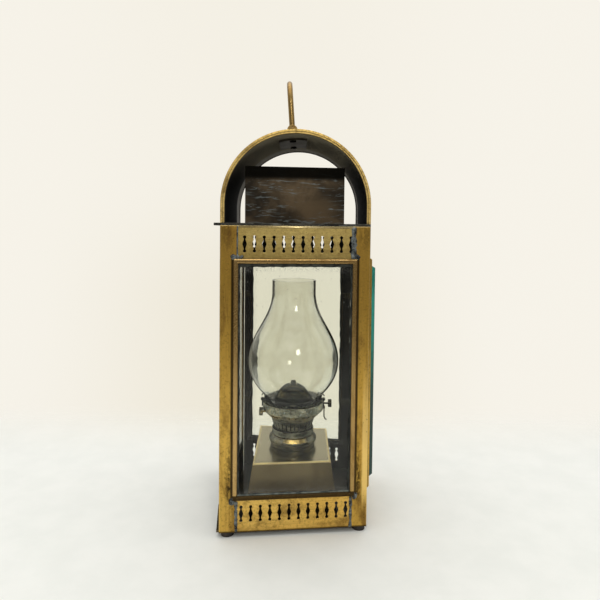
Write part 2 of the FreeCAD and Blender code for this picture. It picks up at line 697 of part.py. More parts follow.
def make_handle():
    """Loop handle, the ears that it turns in, the plate inside the hood and the rivets through both."""
    up = Vector(0, 0, 1)
    path, start = bail_path()
    ring = Part.Wire(Part.makeCircle(BAIL_ROD / 2, start, Vector(0, 1, 0)))
    bail = path.makePipeShell([ring], True, False)

    seat_radius = HOOD_RADIUS + CURVED_SEAT
    hood_body = cylinder(seat_radius, Vector(0, -LEFT_DEPTH, HOOD_AXIS_Z), Vector(0, 1, 0), 2 * LEFT_DEPTH)
    pivot_z = HOOD_TOP_Z + PIVOT_HEIGHT
    near = ear_inner_face()
    half = EAR_WIDTH / 2
    ears = []
    for side, rivet in zip((-1, 1), rivet_axes()):
        first, last = sorted((side * near, side * (near + EAR_THICKNESS)))
        toe, heel = sorted((side * (near - EAR_FOOT_LENGTH), side * (near + EAR_THICKNESS)))
        upright = box((-half, first, HOOD_AXIS_Z), (half, last, pivot_z))
        eye = cylinder(half, Vector(0, first, pivot_z), Vector(0, 1, 0), EAR_THICKNESS)
        foot = box((-half, toe, HOOD_AXIS_Z), (half, heel, HOOD_TOP_Z + EAR_FOOT))
        hole_start = Vector(0, first - PAST, pivot_z)
        hole = cylinder(BAIL_ROD / 2 + PIVOT_RUN, hole_start, Vector(0, 1, 0), EAR_THICKNESS + 2 * PAST)
        shank = cylinder(RIVET / 2 + RIVET_GAP, rivet - up * 2 * PAST, up, 4 * PAST)
        ears.append(upright.fuse([eye, foot]).cut(hood_body).cut(hole).cut(shank).removeSplitter())

    under = HOOD_RADIUS - SHEET - CURVED_SEAT
    strip_half = BAIL_WIDTH / 2 + BAIL_ROD / 2
    block = box((-BACKING_WIDTH / 2, -strip_half, HOOD_AXIS_Z), (BACKING_WIDTH / 2, strip_half, HOOD_TOP_Z))
    backing = vault(under, under - BACKING_SHEET).common(block)
    rivets = []
    hollow = under - BACKING_SHEET
    low = HOOD_AXIS_Z + math.sqrt(hollow ** 2 - (RIVET_HEAD / 2) ** 2)
    high = HOOD_TOP_Z + EAR_FOOT
    for point in rivet_axes():
        foot = Vector(point.x, point.y, low)
        backing = backing.cut(cylinder(RIVET / 2 + RIVET_GAP, foot - up * PAST, up, 2 * PAST))
        shank = cylinder(RIVET / 2, foot, up, high - low)
        lower_head = cylinder(RIVET_HEAD / 2, foot - up * RIVET_HEAD_HEIGHT, up, RIVET_HEAD_HEIGHT)
        upper_head = cylinder(RIVET_HEAD / 2, Vector(point.x, point.y, high), up, RIVET_HEAD_HEIGHT)
        rivets.append(shank.fuse([lower_head, upper_head]).removeSplitter())
    return {
        "carry_bail": tilted(bail),
        "handle_ears": tilted(solids(ears)),
        "handle_backing_plate": tilted(backing),
        "handle_rivets": tilted(solids(rivets)),
    }


def make_tank():
    """Hollow oil tank with sloping shoulders, and the collar that the burner stands on."""
    outside = frustum(tank_plan(TANK_FLARE), SHOULDER_Z, tank_plan(0), TANK_TOP_Z)
    outside = outside.fuse(prism(tank_plan(TANK_FLARE), FLOOR_Z, SHOULDER_Z)).removeSplitter()
    wide = tank_plan(TANK_FLARE - TANK_SHEET)
    hollow = frustum(wide, SHOULDER_Z, tank_plan(-TANK_SHEET), TANK_TOP_Z - TANK_SHEET)
    hollow = hollow.fuse(prism(wide, FLOOR_Z + TANK_SHEET, SHOULDER_Z)).removeSplitter()
    mouth = cylinder(COLLAR_BORE / 2, Vector(LAMP_X, 0, SHOULDER_Z), Vector(0, 0, 1), TANK_SHOULDER + PAST)
    bore = COLLAR_BORE / 2
    wide_radius = COLLAR_DIAMETER / 2
    foot_radius = wide_radius - COLLAR_BEAD
    top_radius = NECK_DIAMETER / 2
    bead_low = TANK_TOP_Z + COLLAR_HEIGHT / 3
    bead_high = CARRIER_Z - COLLAR_BEAD
    collar = [(bore, TANK_TOP_Z), (foot_radius, TANK_TOP_Z), (foot_radius, bead_low)]
    collar += [(wide_radius, bead_low + COLLAR_BEAD), (wide_radius, bead_high - COLLAR_BEAD)]
    collar += [(foot_radius, bead_high), (top_radius, CARRIER_Z), (bore, CARRIER_Z)]
    return {"oil_tank": outside.cut(hollow).cut(mouth), "tank_collar": turned(collar)}


def make_burner():
    """Carrier plate, slotted air band, gallery and flame dome."""
    up = Vector(0, 0, 1)
    axis = Vector(LAMP_X, 0, 0)
    neck = NECK_DIAMETER / 2
    waist = BAND_WAIST / 2
    mouth = BAND_MOUTH / 2
    carrier = cylinder(neck, axis + up * CARRIER_Z, up, CARRIER_SHEET)
    for side in (-1, 1):
        carrier = carrier.cut(tube_block(side, TUBE_HALF_X, TUBE_HALF_Y, CARRIER_Z - PAST, BAND_Z + PAST))

    waist_z = BAND_Z + NECK_HEIGHT
    bore = waist - BURNER_SHEET
    profile = [(bore, BAND_Z), (neck, BAND_Z), (neck, waist_z), (waist, waist_z), (mouth, GALLERY_Z)]
    profile += [(mouth - BURNER_SHEET, GALLERY_Z), (bore, waist_z)]
    slot_z = (waist_z + GALLERY_Z) / 2
    slot_low = slot_z - AIR_SLOT_HEIGHT / 2
    slot_high = slot_z + AIR_SLOT_HEIGHT / 2
    slot = box((LAMP_X, -AIR_SLOT_WIDTH / 2, slot_low), (LAMP_X + 2 * mouth, AIR_SLOT_WIDTH / 2, slot_high))
    band = turned(profile).cut(Part.makeCompound(round_lamp(slot, AIR_SLOTS)))

    radius = GALLERY_DIAMETER / 2
    inside = radius - BURNER_SHEET
    rise_z = GALLERY_Z + GALLERY_RISE
    wall_z = rise_z + GALLERY_CHAMFER
    ceiling = SEAT_Z - BURNER_SHEET
    throat = mouth - BURNER_SHEET
    profile = [(throat, GALLERY_Z), (mouth, GALLERY_Z), (radius - GALLERY_CHAMFER, rise_z), (radius, wall_z)]
    profile += [(radius, SEAT_Z), (GALLERY_BORE / 2, SEAT_Z), (GALLERY_BORE / 2, ceiling), (inside, ceiling)]
    profile += [(inside, wall_z + BURNER_SHEET / 2), (inside - GALLERY_CHAMFER, rise_z + BURNER_SHEET)]
    profile += [(throat, GALLERY_Z + BURNER_SHEET)]
    hole = cylinder(GALLERY_HOLE / 2, axis + up * (SEAT_Z - GALLERY_HOLE_DROP), Vector(1, 0, 0), 2 * radius)
    hole.rotate(axis, up, 180 / GALLERY_HOLES)
    holes = round_lamp(hole, GALLERY_HOLES)
    for side in (-1, 1):
        start = Vector(LAMP_X, side * WINDER_Y, WINDER_Z)
        holes.append(cylinder(SHAFT / 2 + SHAFT_RUN, start, Vector(side, 0, 0), 2 * radius))
    gallery = turned(profile)
    for cutter in holes:
        gallery = gallery.cut(cutter)
    return {
        "wick_tube_carrier": carrier,
        "burner_air_band": band,
        "burner_gallery": gallery,
        "flame_dome": make_dome(),
    }


def make_dome():
    """Half-round deflector with a slot over each wick, a lifting tab and a notch beside the tab."""
    radius = DOME_DIAMETER / 2
    centre = Vector(LAMP_X, 0, SEAT_Z)
    ball = Part.makeSphere(radius, centre).cut(Part.makeSphere(radius - DOME_SHEET, centre))
    room = 2 * radius
    dome = ball.common(box((LAMP_X - room, -room, SEAT_Z), (LAMP_X + room, room, SEAT_Z + room)))
    top = SEAT_Z + radius
    for side in (-1, 1):
        slot = tube_block(side, TUBE_HALF_X + SLOT_GAP, TUBE_HALF_Y + SLOT_GAP, SEAT_Z + SLOT_GAP, top)
        dome = dome.cut(slot)
        near, far = sorted((side * DOME_TAB_WIDTH / 2, side * (DOME_TAB_WIDTH / 2 + DOME_NOTCH)))
        notch_half = WICK_OFFSET - TUBE_HALF_Y - 2 * SLOT_GAP
        low = (LAMP_X + near, -notch_half, top - DOME_NOTCH_DEPTH)
        dome = dome.cut(box(low, (LAMP_X + far, notch_half, top + PAST)))
    tab_half = DOME_TAB_WIDTH / 2
    tab_low = (LAMP_X - tab_half, -DOME_TAB_SHEET / 2, top - DOME_SHEET)
    tab = box(tab_low, (LAMP_X + tab_half, DOME_TAB_SHEET / 2, top + DOME_TAB_RISE))
    return dome.fuse(tab).removeSplitter()


def tube_block(side, half_x, half_y, bottom, top):
    """Upright block over the front (-1) or rear (1) wick."""
    y = side * WICK_OFFSET
    return box((LAMP_X - half_x, y - half_y, bottom), (LAMP_X + half_x, y + half_y, top))


def star(radius, root, points):
    """Outline of a toothed wheel as (across, up) pairs."""
    outline = []
    for i in range(2 * points):
        reach = radius if i % 2 == 0 else root
        angle = math.pi * i / points
        outline.append((reach * math.cos(angle), reach * math.sin(angle)))
    return outline


def wheel_on_shaft(side, x, thickness, outline):
    """Disc of a given outline on a winder's shaft, bored for it."""
    y = side * WINDER_Y
    face = polygon([Vector(x, y + a, WINDER_Z + b) for a, b in outline])
    start = Vector(x - PAST, y, WINDER_Z)
    bore = cylinder(SHAFT / 2 + SHAFT_SEAT, start, Vector(1, 0, 0), thickness + 2 * PAST)
    return face.extrude(Vector(thickness, 0, 0)).cut(bore)


def make_wicks():
    """Wick tubes with their bearing ears, the wicks, and a winder for each: shaft, spur wheels and knob."""
    parts = {}
    tubes = []
    wheel_x = [LAMP_X + step * WHEEL_SPACING for step in (-1, 0, 1)]
    ear_x = 1.5 * WHEEL_SPACING
    knob_radius = KNOB_DIAMETER / 2
    wall_x = math.sqrt((GALLERY_DIAMETER / 2) ** 2 - (WINDER_Y - knob_radius) ** 2)
    knob_out = {"front": wall_x + KNOB_GAP, "rear": wall_x + KNOB_GAP + REAR_KNOB_OUT}
    for name, side in (("front", -1), ("rear", 1)):
        low = CARRIER_Z - TUBE_BELOW_CARRIER
        tube = tube_block(side, TUBE_HALF_X, TUBE_HALF_Y, low, TUBE_TOP_Z)
        bore_x = TUBE_HALF_X - TUBE_SHEET
        bore_y = TUBE_HALF_Y - TUBE_SHEET
        bore = tube_block(side, bore_x, bore_y, low - PAST, TUBE_TOP_Z + PAST)
        wall_y = WICK_OFFSET + TUBE_HALF_Y
        end_y = WINDER_Y + BEARING_EAR_HALF
        first, last = sorted((side * wall_y, side * end_y))
        for ear in (-1, 1):
            left = LAMP_X + ear * ear_x - BEARING_EAR / 2
            ear_low = (left, first, WINDER_Z - BEARING_EAR_HALF)
            tube = tube.fuse(box(ear_low, (left + BEARING_EAR, last, WINDER_Z + BEARING_EAR_HALF)))
        inner, outer = sorted((side * WICK_OFFSET, side * wall_y))
        cutters = [bore]
        half = WHEEL_THICKNESS / 2 + WINDOW_GAP
        tall = WHEEL_DIAMETER / 2
        for x in wheel_x:
            cutters.append(box((x - half, inner, WINDER_Z - tall), (x + half, outer, WINDER_Z + tall)))
        y = side * WINDER_Y
        ear_start = Vector(LAMP_X - 2 * ear_x, y, WINDER_Z)
        cutters.append(cylinder(SHAFT / 2 + SHAFT_RUN, ear_start, Vector(1, 0, 0), 4 * ear_x))
        tubes.append(tube.cut(Part.makeCompound(cutters)).removeSplitter())

        wick_low = FLOOR_Z + TANK_SHEET + WICK_END_ABOVE_TANK_FLOOR
        wick_top = TUBE_TOP_Z + WICK_PROUD
        parts[name + "_wick"] = tube_block(side, WICK_WIDTH / 2, WICK_THICKNESS / 2, wick_low, wick_top)
        inner_end = LAMP_X - side * (ear_x + BEARING_EAR / 2 + SHAFT_END)
        knob_face = LAMP_X + side * knob_out[name]
        outer_end = knob_face + side * KNOB_THICKNESS
        start = Vector(inner_end, y, WINDER_Z)
        length = abs(outer_end - inner_end)
        parts[name + "_winder_shaft"] = cylinder(SHAFT / 2, start, Vector(side, 0, 0), length)
        teeth = star(WHEEL_DIAMETER / 2, WHEEL_ROOT / 2, WHEEL_TEETH)
        wheels = [wheel_on_shaft(side, x - WHEEL_THICKNESS / 2, WHEEL_THICKNESS, teeth) for x in wheel_x]
        parts[name + "_winder_wheels"] = solids(wheels)
        flutes = star(knob_radius, knob_radius - KNOB_GROOVE, KNOB_FLUTES)
        parts[name + "_winder_knob"] = wheel_on_shaft(side, min(knob_face, outer_end), KNOB_THICKNESS, flutes)
    parts["wick_tubes"] = solids(tubes)
    return parts


def chimney_line(inset):
    """Edges of the chimney's outline from foot to lip, moved in by a wall."""
    bottom = SEAT_Z + CHIMNEY_SEAT
    foot = LAMP_X + CHIMNEY_FOOT / 2 - inset
    bulge = LAMP_X + CHIMNEY_BULGE / 2 - inset
    neck = LAMP_X + CHIMNEY_NECK / 2 - inset
    lip_z = bottom + CHIMNEY_LIP
    bulge_z = bottom + CHIMNEY_BULGE_HEIGHT
    top = bottom + CHIMNEY_HEIGHT
    neck_z = top - CHIMNEY_NECK_LENGTH
    belly = Part.BezierCurve()
    belly_poles = [(foot, lip_z), (foot + FLARE_REACH, lip_z + FLARE_RISE)]
    belly_poles += [(bulge, bulge_z - BULGE_LOWER_EASE), (bulge, bulge_z)]
    belly.setPoles([Vector(x, 0, z) for x, z in belly_poles])
    shoulder = Part.BezierCurve()
    shoulder_poles = [(bulge, bulge_z), (bulge, bulge_z + BULGE_UPPER_EASE)]
    shoulder_poles += [(neck, neck_z - BULGE_UPPER_EASE), (neck, neck_z)]
    shoulder.setPoles([Vector(x, 0, z) for x, z in shoulder_poles])
    lower = Part.makeLine(Vector(foot, 0, bottom), Vector(foot, 0, lip_z))
    upper = Part.makeLine(Vector(neck, 0, neck_z), Vector(neck, 0, top))
    return [lower, belly.toShape(), shoulder.toShape(), upper]


def make_chimney():
    """Bulged glass chimney, the clips round its foot and the bent wire on the right."""
    outside = chimney_line(0)
    inside = chimney_line(CHIMNEY_GLASS)
    ends = []
    for end in (0, -1):
        outer_point = outside[end].Vertexes[end].Point
        inner_point = inside[end].Vertexes[end].Point
        ends.append(Part.makeLine(outer_point, inner_point))
    wire = Part.Wire(Part.__sortEdges__(outside + inside + ends))
    chimney = Part.Face(wire).revolve(Vector(LAMP_X, 0, 0), Vector(0, 0, 1), 360)

    near = CHIMNEY_FOOT / 2 + CHIMNEY_CLIP_GAP
    wall = GALLERY_DIAMETER / 2 + CLIP_GAP
    sheet = CHIMNEY_CLIP_SHEET
    tip_z = SEAT_Z + CHIMNEY_CLIP_RISE
    tail_z = SEAT_Z - CHIMNEY_CLIP_DROP
    outline = [(near, SEAT_Z), (near, tip_z), (near + sheet, tip_z), (near + sheet, SEAT_Z + sheet)]
    outline += [(wall + sheet, SEAT_Z + sheet), (wall + sheet, tail_z), (wall, tail_z), (wall, SEAT_Z)]
    face = polygon([Vector(LAMP_X + r, -CHIMNEY_CLIP_WIDTH / 2, z) for r, z in outline])
    clips = round_lamp(face.extrude(Vector(0, CHIMNEY_CLIP_WIDTH, 0)), CHIMNEY_CLIPS)

    lug_x = LAMP_X + GALLERY_DIAMETER / 2 + WIRE_LUG_GAP
    lug_top = tail_z - WIRE_LUG_GAP
    lug_low = lug_top - WIRE_LUG_HEIGHT
    half = WIRE_LUG_WIDTH / 2
    lug = box((lug_x, -half, lug_low), (lug_x + WIRE_LUG_DEPTH, half, lug_top))
    wire_x = lug_x + WIRE_LUG_DEPTH / 2
    hook = WIRE_HOOK_RADIUS
    start = Vector(wire_x, 0, lug_top - WIRE)
    straight_end = Vector(wire_x, 0, lug_low - WIRE_DROP + hook)
    bend = []
    for angle in (WIRE_HOOK_TURN / 2, WIRE_HOOK_TURN):
        out = hook * (1 - math.cos(math.radians(angle)))
        bend.append(straight_end + Vector(out, 0, -hook * math.sin(math.radians(angle))))
    curve = Part.Arc(straight_end, bend[0], bend[1]).toShape()
    path = Part.Wire([Part.makeLine(start, straight_end), curve])
    ring = Part.Wire(Part.makeCircle(WIRE / 2, start, Vector(0, 0, -1)))
    hook_wire = path.makePipeShell([ring], True, False).fuse(lug).removeSplitter()
    return {"chimney": chimney, "chimney_clips": solids(clips), "gallery_wire": hook_wire}


def main():
    os.makedirs("parts", exist_ok=True)
    makers = (make_walls, make_base, make_glazing, make_door, make_hood, make_handle)
    makers += (make_tank, make_burner, make_wicks, make_chimney)
    for maker in makers:
        for name, shape in maker().items():
            print(name, len(shape.Solids), round(shape.Volume, 1), shape.isValid())
            shape.exportStep("parts/" + name + ".step")


main()
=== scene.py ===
import math
from collections import namedtuple

import bmesh
import bpy
from mathutils import Matrix, Vector, noise


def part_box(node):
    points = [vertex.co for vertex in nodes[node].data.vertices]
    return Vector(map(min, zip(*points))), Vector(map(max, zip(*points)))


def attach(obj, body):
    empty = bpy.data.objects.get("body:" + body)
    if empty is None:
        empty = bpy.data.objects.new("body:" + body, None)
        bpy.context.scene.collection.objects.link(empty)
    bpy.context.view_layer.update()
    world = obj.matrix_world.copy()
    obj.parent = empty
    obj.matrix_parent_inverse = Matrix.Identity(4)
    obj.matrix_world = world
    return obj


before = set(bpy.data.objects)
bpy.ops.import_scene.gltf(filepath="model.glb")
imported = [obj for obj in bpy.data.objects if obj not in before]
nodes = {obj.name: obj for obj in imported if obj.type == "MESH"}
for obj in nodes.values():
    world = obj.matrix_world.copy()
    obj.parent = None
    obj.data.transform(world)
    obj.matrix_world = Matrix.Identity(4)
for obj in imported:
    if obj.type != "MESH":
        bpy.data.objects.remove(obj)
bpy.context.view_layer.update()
scene = bpy.context.scene

# Sizes of the lantern that the materials and the added pieces go by, in metres
HALF_WIDTH = 0.075
MID_HALF_DEPTH = 0.075
DEPTH_LOSS = 0.032
SLOPE = DEPTH_LOSS / 2 / (2 * HALF_WIDTH)
SHEET = 0.0012
BASE_Z = 0.005
SILL_Z = 0.038
HEAD_Z = 0.281
DECK_Z = 0.314
UPPER_STRIP_TOP_Z = 0.3129
POST_FLANGE = 0.017
DOOR_FLANGE = 0.020
BEAD_LAP = 0.0036
BEAD_WIDTH = 0.0046
HOOD_AXIS = (0.0, 0.0, 0.335)
LAMP_X = -0.0026
SEAT_Z = 0.1155
TANK_TOP_Z = 0.0650
GALLERY_RADIUS = 0.0345
PANE_FLAT_LEFT = -0.0508
PANE_FLAT_RIGHT = 0.0553
DOOR_FLAT_Y = 0.0397
DOOR_FLAT_Z = 0.1112
DOOR_MIDDLE_Z = 0.1595


# Shader building

EDGE_SAMPLES = 4


class Graph:
    """Short names for the shader nodes that the materials share."""

    def __init__(self, tree):
        self.tree = tree
        tree.nodes.clear()
        self.coords = None

    def add(self, kind, **settings):
        node = self.tree.nodes.new("ShaderNode" + kind)
        for key, value in settings.items():
            setattr(node, key, value)
        return node

    def put(self, socket, value):
        if isinstance(value, bpy.types.NodeSocket):
            self.tree.links.new(value, socket)
        else:
            socket.default_value = value

    def position(self):
        if self.coords is None:
            self.coords = self.add("TexCoord")
        return self.coords.outputs["Object"]

    def normal(self):
        self.position()
        return self.coords.outputs["Normal"]

    def axes(self, vector):
        """X, Y and Z of a vector."""
        node = self.add("SeparateXYZ")
        self.put(node.inputs[0], vector)
        return node.outputs["X"], node.outputs["Y"], node.outputs["Z"]

    def height(self):
        return self.axes(self.position())[2]

    def math(self, operation, a, b=0.0, clamp=False):
        node = self.add("Math", operation=operation, use_clamp=clamp)
        self.put(node.inputs[0], a)
        self.put(node.inputs[1], b)
        return node.outputs[0]

    def plus(self, a, b):
        return self.math("ADD", a, b)

    def minus(self, a, b, clamp=False):
        return self.math("SUBTRACT", a, b, clamp)

    def times(self, a, b):
        return self.math("MULTIPLY", a, b)

    def larger(self, a, b):
        return self.math("MAXIMUM", a, b)

    def vector(self, operation, a, b=(0.0, 0.0, 0.0)):
        node = self.add("VectorMath", operation=operation)
        self.put(node.inputs[0], a)
        self.put(node.inputs[1], b)
        return node.outputs["Value" if operation in ("DOT_PRODUCT", "LENGTH") else "Vector"]

    def ramp(self, value, low, high, start=0.0, end=1.0):
        """Smooth step of a value between two levels."""
        node = self.add("MapRange", interpolation_type="SMOOTHSTEP")
        self.put(node.inputs["Value"], value)
        node.inputs["From Min"].default_value = low
        node.inputs["From Max"].default_value = high
        node.inputs["To Min"].default_value = start
        node.inputs["To Max"].default_value = end
        return node.outputs["Result"]

    def band(self, value, start, full, fading, end):
        """Mask of the values between two levels, soft at both ends."""
        return self.times(self.ramp(value, start, full), self.ramp(value, end, fading))

    def mix(self, factor, a, b):
        """Colour between two colours."""
        node = self.add("Mix", data_type="RGBA")
        self.put(node.inputs["Factor"], factor)
        self.put(node.inputs["A"], colour(a))
        self.put(node.inputs["B"], colour(b))
        return node.outputs["Result"]

    def blend(self, factor, a, b):
        """Number between two numbers."""
        node = self.add("Mix", data_type="FLOAT")
        self.put(node.inputs["Factor"], factor)
        self.put(node.inputs["A"], a)
        self.put(node.inputs["B"], b)
        return node.outputs["Result"]

    def either(self, factor, a, b):
        """Shader between two shaders."""
        node = self.add("MixShader")
        self.put(node.inputs["Fac"], factor)
        self.put(node.inputs[1], a)
        self.put(node.inputs[2], b)
        return node.outputs["Shader"]

    def noise(self, scale, detail, rough, stretch=(1.0, 1.0, 1.0), shift=(0.0, 0.0, 0.0),
              twist=0.0):
        place = self.vector("MULTIPLY", self.position(), stretch)
        place = self.vector("ADD", place, shift)
        node = self.add("TexNoise")
        self.put(node.inputs["Vector"], place)
        node.inputs["Scale"].default_value = scale
        node.inputs["Detail"].default_value = detail
        node.inputs["Roughness"].default_value = rough
        node.inputs["Distortion"].default_value = twist
        return node.outputs["Fac"]

    def dots(self, scale, size, shift=(0.0, 0.0, 0.0)):
        """Mask of small round spots."""
        node = self.add("TexVoronoi")
        self.put(node.inputs["Vector"], self.vector("ADD", self.position(), shift))
        node.inputs["Scale"].default_value = scale
        return self.ramp(node.outputs["Distance"], size, size * 0.4)

    def rounded(self, radius):
        """Normal of a solid with its edges rounded off, so that they catch the light."""
        bevel = self.add("Bevel", samples=EDGE_SAMPLES)
        bevel.inputs["Radius"].default_value = radius
        return bevel.outputs["Normal"]

    def edges(self, radius, full=0.80):
        """Mask of the outer and inner edges of a solid."""
        flat = self.add("NewGeometry").outputs["Normal"]
        turn = self.vector("DOT_PRODUCT", self.rounded(radius), flat)
        return self.ramp(turn, 0.995, full)

    def crevices(self, reach):
        """Mask of inner corners from ambient occlusion; darkening there is painted shade, mixed
        with grime in some metals.
        """
        shade = self.add("AmbientOcclusion", samples=EDGE_SAMPLES)
        shade.inputs["Distance"].default_value = reach
        return self.ramp(shade.outputs["AO"], 0.86, 0.42)

    def bump(self, height, depth, strength, under=None, invert=False):
        node = self.add("Bump", invert=invert)
        node.inputs["Strength"].default_value = strength
        node.inputs["Distance"].default_value = depth
        self.put(node.inputs["Height"], height)
        if under is not None:
            self.put(node.inputs["Normal"], under)
        return node.outputs["Normal"]

    def principled(self, **inputs):
        node = self.add("BsdfPrincipled")
        for key, value in inputs.items():
            self.put(node.inputs[key.replace("_", " ")], value)
        return node.outputs["BSDF"]

    def transparent(self):
        return self.add("BsdfTransparent").outputs["BSDF"]

    def surface(self, shader):
        self.put(self.add("OutputMaterial").inputs["Surface"], shader)


def colour(value):
    if isinstance(value, tuple) and len(value) == 3:
        return (*value, 1.0)
    return value


def new_graph(name):
    material = bpy.data.materials.new(name)
    material.use_nodes = True
    return material, Graph(material.node_tree)


# Aged brass

ROUND_EDGE = 0.0008
CASE_INSIDE = "case"
HOOD_INSIDE = "hood"
RIM_INSIDE = "rim"
BRUSH = {"up": (1.0, 1.0, 0.05), "across": (0.05, 0.05, 1.0)}
STAIN = {"up": (1.0, 1.0, 0.28), "across": (0.80, 0.80, 1.0)}
GRIME_AND_SHADE = (0.016, 0.012, 0.007)
PATINA = (0.026, 0.022, 0.014)
BRUSHED = (0.27, 0.155, 0.034)
SPECKLED = (0.22, 0.125, 0.030)
BROWN = (0.170, 0.088, 0.022)
WORN_EDGE = (0.72, 0.50, 0.19)
FLAKE_BRIGHT = (1.0, 0.78, 0.26)
FLAKE_DULL = (0.24, 0.145, 0.040)
POST_HIGHLIGHT = (0.92, 0.64, 0.21)
STRIP_SHADE = (0.16, 0.095, 0.026)
STRIP_TOP_HIGHLIGHT = (1.0, 0.84, 0.44)
FOOT_SHADE = (0.034, 0.021, 0.008)
ARCH_SHADE = (0.020, 0.015, 0.008)
CASE_SOOT_AND_SHADE = (0.008, 0.007, 0.005)
HOOD_SOOT_AND_SHADE = (0.005, 0.004, 0.003)
HOOD_CROWN_PAINTED_LIGHT = (0.230, 0.200, 0.140)
HOOD_REAR_HIGHLIGHT = (0.200, 0.180, 0.145)
RIM_SOOT_AND_SHADE = (0.004, 0.004, 0.003)
RIM_SOOT_AND_SHADE_PALE = (0.014, 0.012, 0.009)

# Marks on the posts: the levels between which each one starts and fades, in metres
LINE_FRONT = (0.0612, 0.0617, 0.0634, 0.0647)
LINE_LEFT = (0.0690, 0.0695, 0.0706, 0.0718)
LINE_LEFT_X = (-0.070, -0.072)
LINE_Z = (0.036, 0.040, 0.280, 0.284)
LOW_STAIN_CENTRE = (0.0635, 0.056)
LOW_STAIN_SQUEEZE = (1.7, 0.24)
LOW_STAIN_FADE = (0.0135, 0.003)
LOW_STAIN_Z = (0.026, 0.044)
HIGH_STAIN_CENTRE = (0.0700, 0.306)
HIGH_STAIN_SQUEEZE = (1.0, 0.5)
HIGH_STAIN_FADE = (0.0125, 0.002)
# A painted highlight on the right posts: where it starts across, how it fades upward, and where it
# starts above the floor
POST_HIGHLIGHT_X = (0.0685, 0.0705)
POST_HIGHLIGHT_FADE_Z = (0.190, 0.100)
POST_HIGHLIGHT_START_Z = (0.020, 0.050)


def facing_in(g, kind):
    """Mask of the faces that look into the case or into the hood, and for the back rim also of
    those that look forward.
    """
    if kind == CASE_INSIDE:
        outward = g.vector("MULTIPLY", g.position(), (1.0, 1.0, 0.0))
    else:
        centred = g.vector("SUBTRACT", g.position(), HOOD_AXIS)
        outward = g.vector("MULTIPLY", centred, (1.0, 0.0, 1.0))
    inner = g.ramp(g.vector("DOT_PRODUCT", g.normal(), outward), -0.010, -0.030)
    if kind == RIM_INSIDE:
        inner = g.larger(inner, g.ramp(g.axes(g.normal())[1], -0.4, -0.8))
    return inner


def inner_side(g, kind, patches):
    """Colour and roughness of the blackened inside: soot with painted shade; in the hood the crown
    painted lighter and a painted highlight band near the rear edge.
    """
    if kind == HOOD_INSIDE:
        _, deep, height = g.axes(g.position())
        # The lighter band near the hood's rear edge is a painted highlight, and the lighter crown a
        # painted light
        bright_patch = g.times(g.ramp(deep, 0.045, 0.052), g.ramp(patches, 0.3, 0.6, 0.7, 1.0))
        black = g.mix(g.ramp(height, 0.355, 0.402), HOOD_SOOT_AND_SHADE, HOOD_CROWN_PAINTED_LIGHT)
        return g.mix(bright_patch, black, HOOD_REAR_HIGHLIGHT), g.blend(bright_patch, 0.95, 0.55)
    if kind == RIM_INSIDE:
        return g.mix(patches, RIM_SOOT_AND_SHADE, RIM_SOOT_AND_SHADE_PALE), 0.9
    return g.mix(g.ramp(patches, 0.4, 0.7), CASE_SOOT_AND_SHADE, PATINA), 0.6


def arch_radius(g):
    """Distance from the hood's axis, or below it from the hood's middle plane."""
    centred = g.vector("SUBTRACT", g.position(), HOOD_AXIS)
    above = g.vector("MAXIMUM", centred, (-1.0, 0.0, 0.0))
    return g.vector("LENGTH", g.vector("MULTIPLY", above, (1.0, 0.0, 1.0)))


def oval(g, side, height, centre, squeeze):
    """Distance from a spot on a post, squeezed across and up."""
    across = g.times(g.minus(side, centre[0]), squeeze[0])
    upward = g.times(g.minus(height, centre[1]), squeeze[1])
    squares = g.plus(g.math("POWER", across, 2.0), g.math("POWER", upward, 2.0))
    return g.math("SQRT", squares)


def beside_beads(g):
    """Masks of the dull strips by the upright beads (grime and painted shade), of the stained
    corners, and of a painted highlight on the right posts.
    """
    x, y, z = g.axes(g.position())
    side = g.math("ABSOLUTE", x)
    left_line = g.times(g.band(g.math("ABSOLUTE", y), *LINE_LEFT), g.ramp(x, *LINE_LEFT_X))
    lines = g.times(g.larger(g.band(side, *LINE_FRONT), left_line), g.band(z, *LINE_Z))
    from_low = oval(g, side, z, LOW_STAIN_CENTRE, LOW_STAIN_SQUEEZE)
    low = g.times(g.ramp(from_low, *LOW_STAIN_FADE), g.ramp(z, *LOW_STAIN_Z, 0.2, 1.0))
    from_high = oval(g, side, z, HIGH_STAIN_CENTRE, HIGH_STAIN_SQUEEZE)
    high = g.ramp(from_high, *HIGH_STAIN_FADE, 0.0, 0.45)
    wear_and_highlight = g.times(g.ramp(x, *POST_HIGHLIGHT_X), g.ramp(z, *POST_HIGHLIGHT_FADE_Z))
    return lines, g.larger(low, high), g.times(wear_and_highlight, g.ramp(z, *POST_HIGHLIGHT_START_Z))


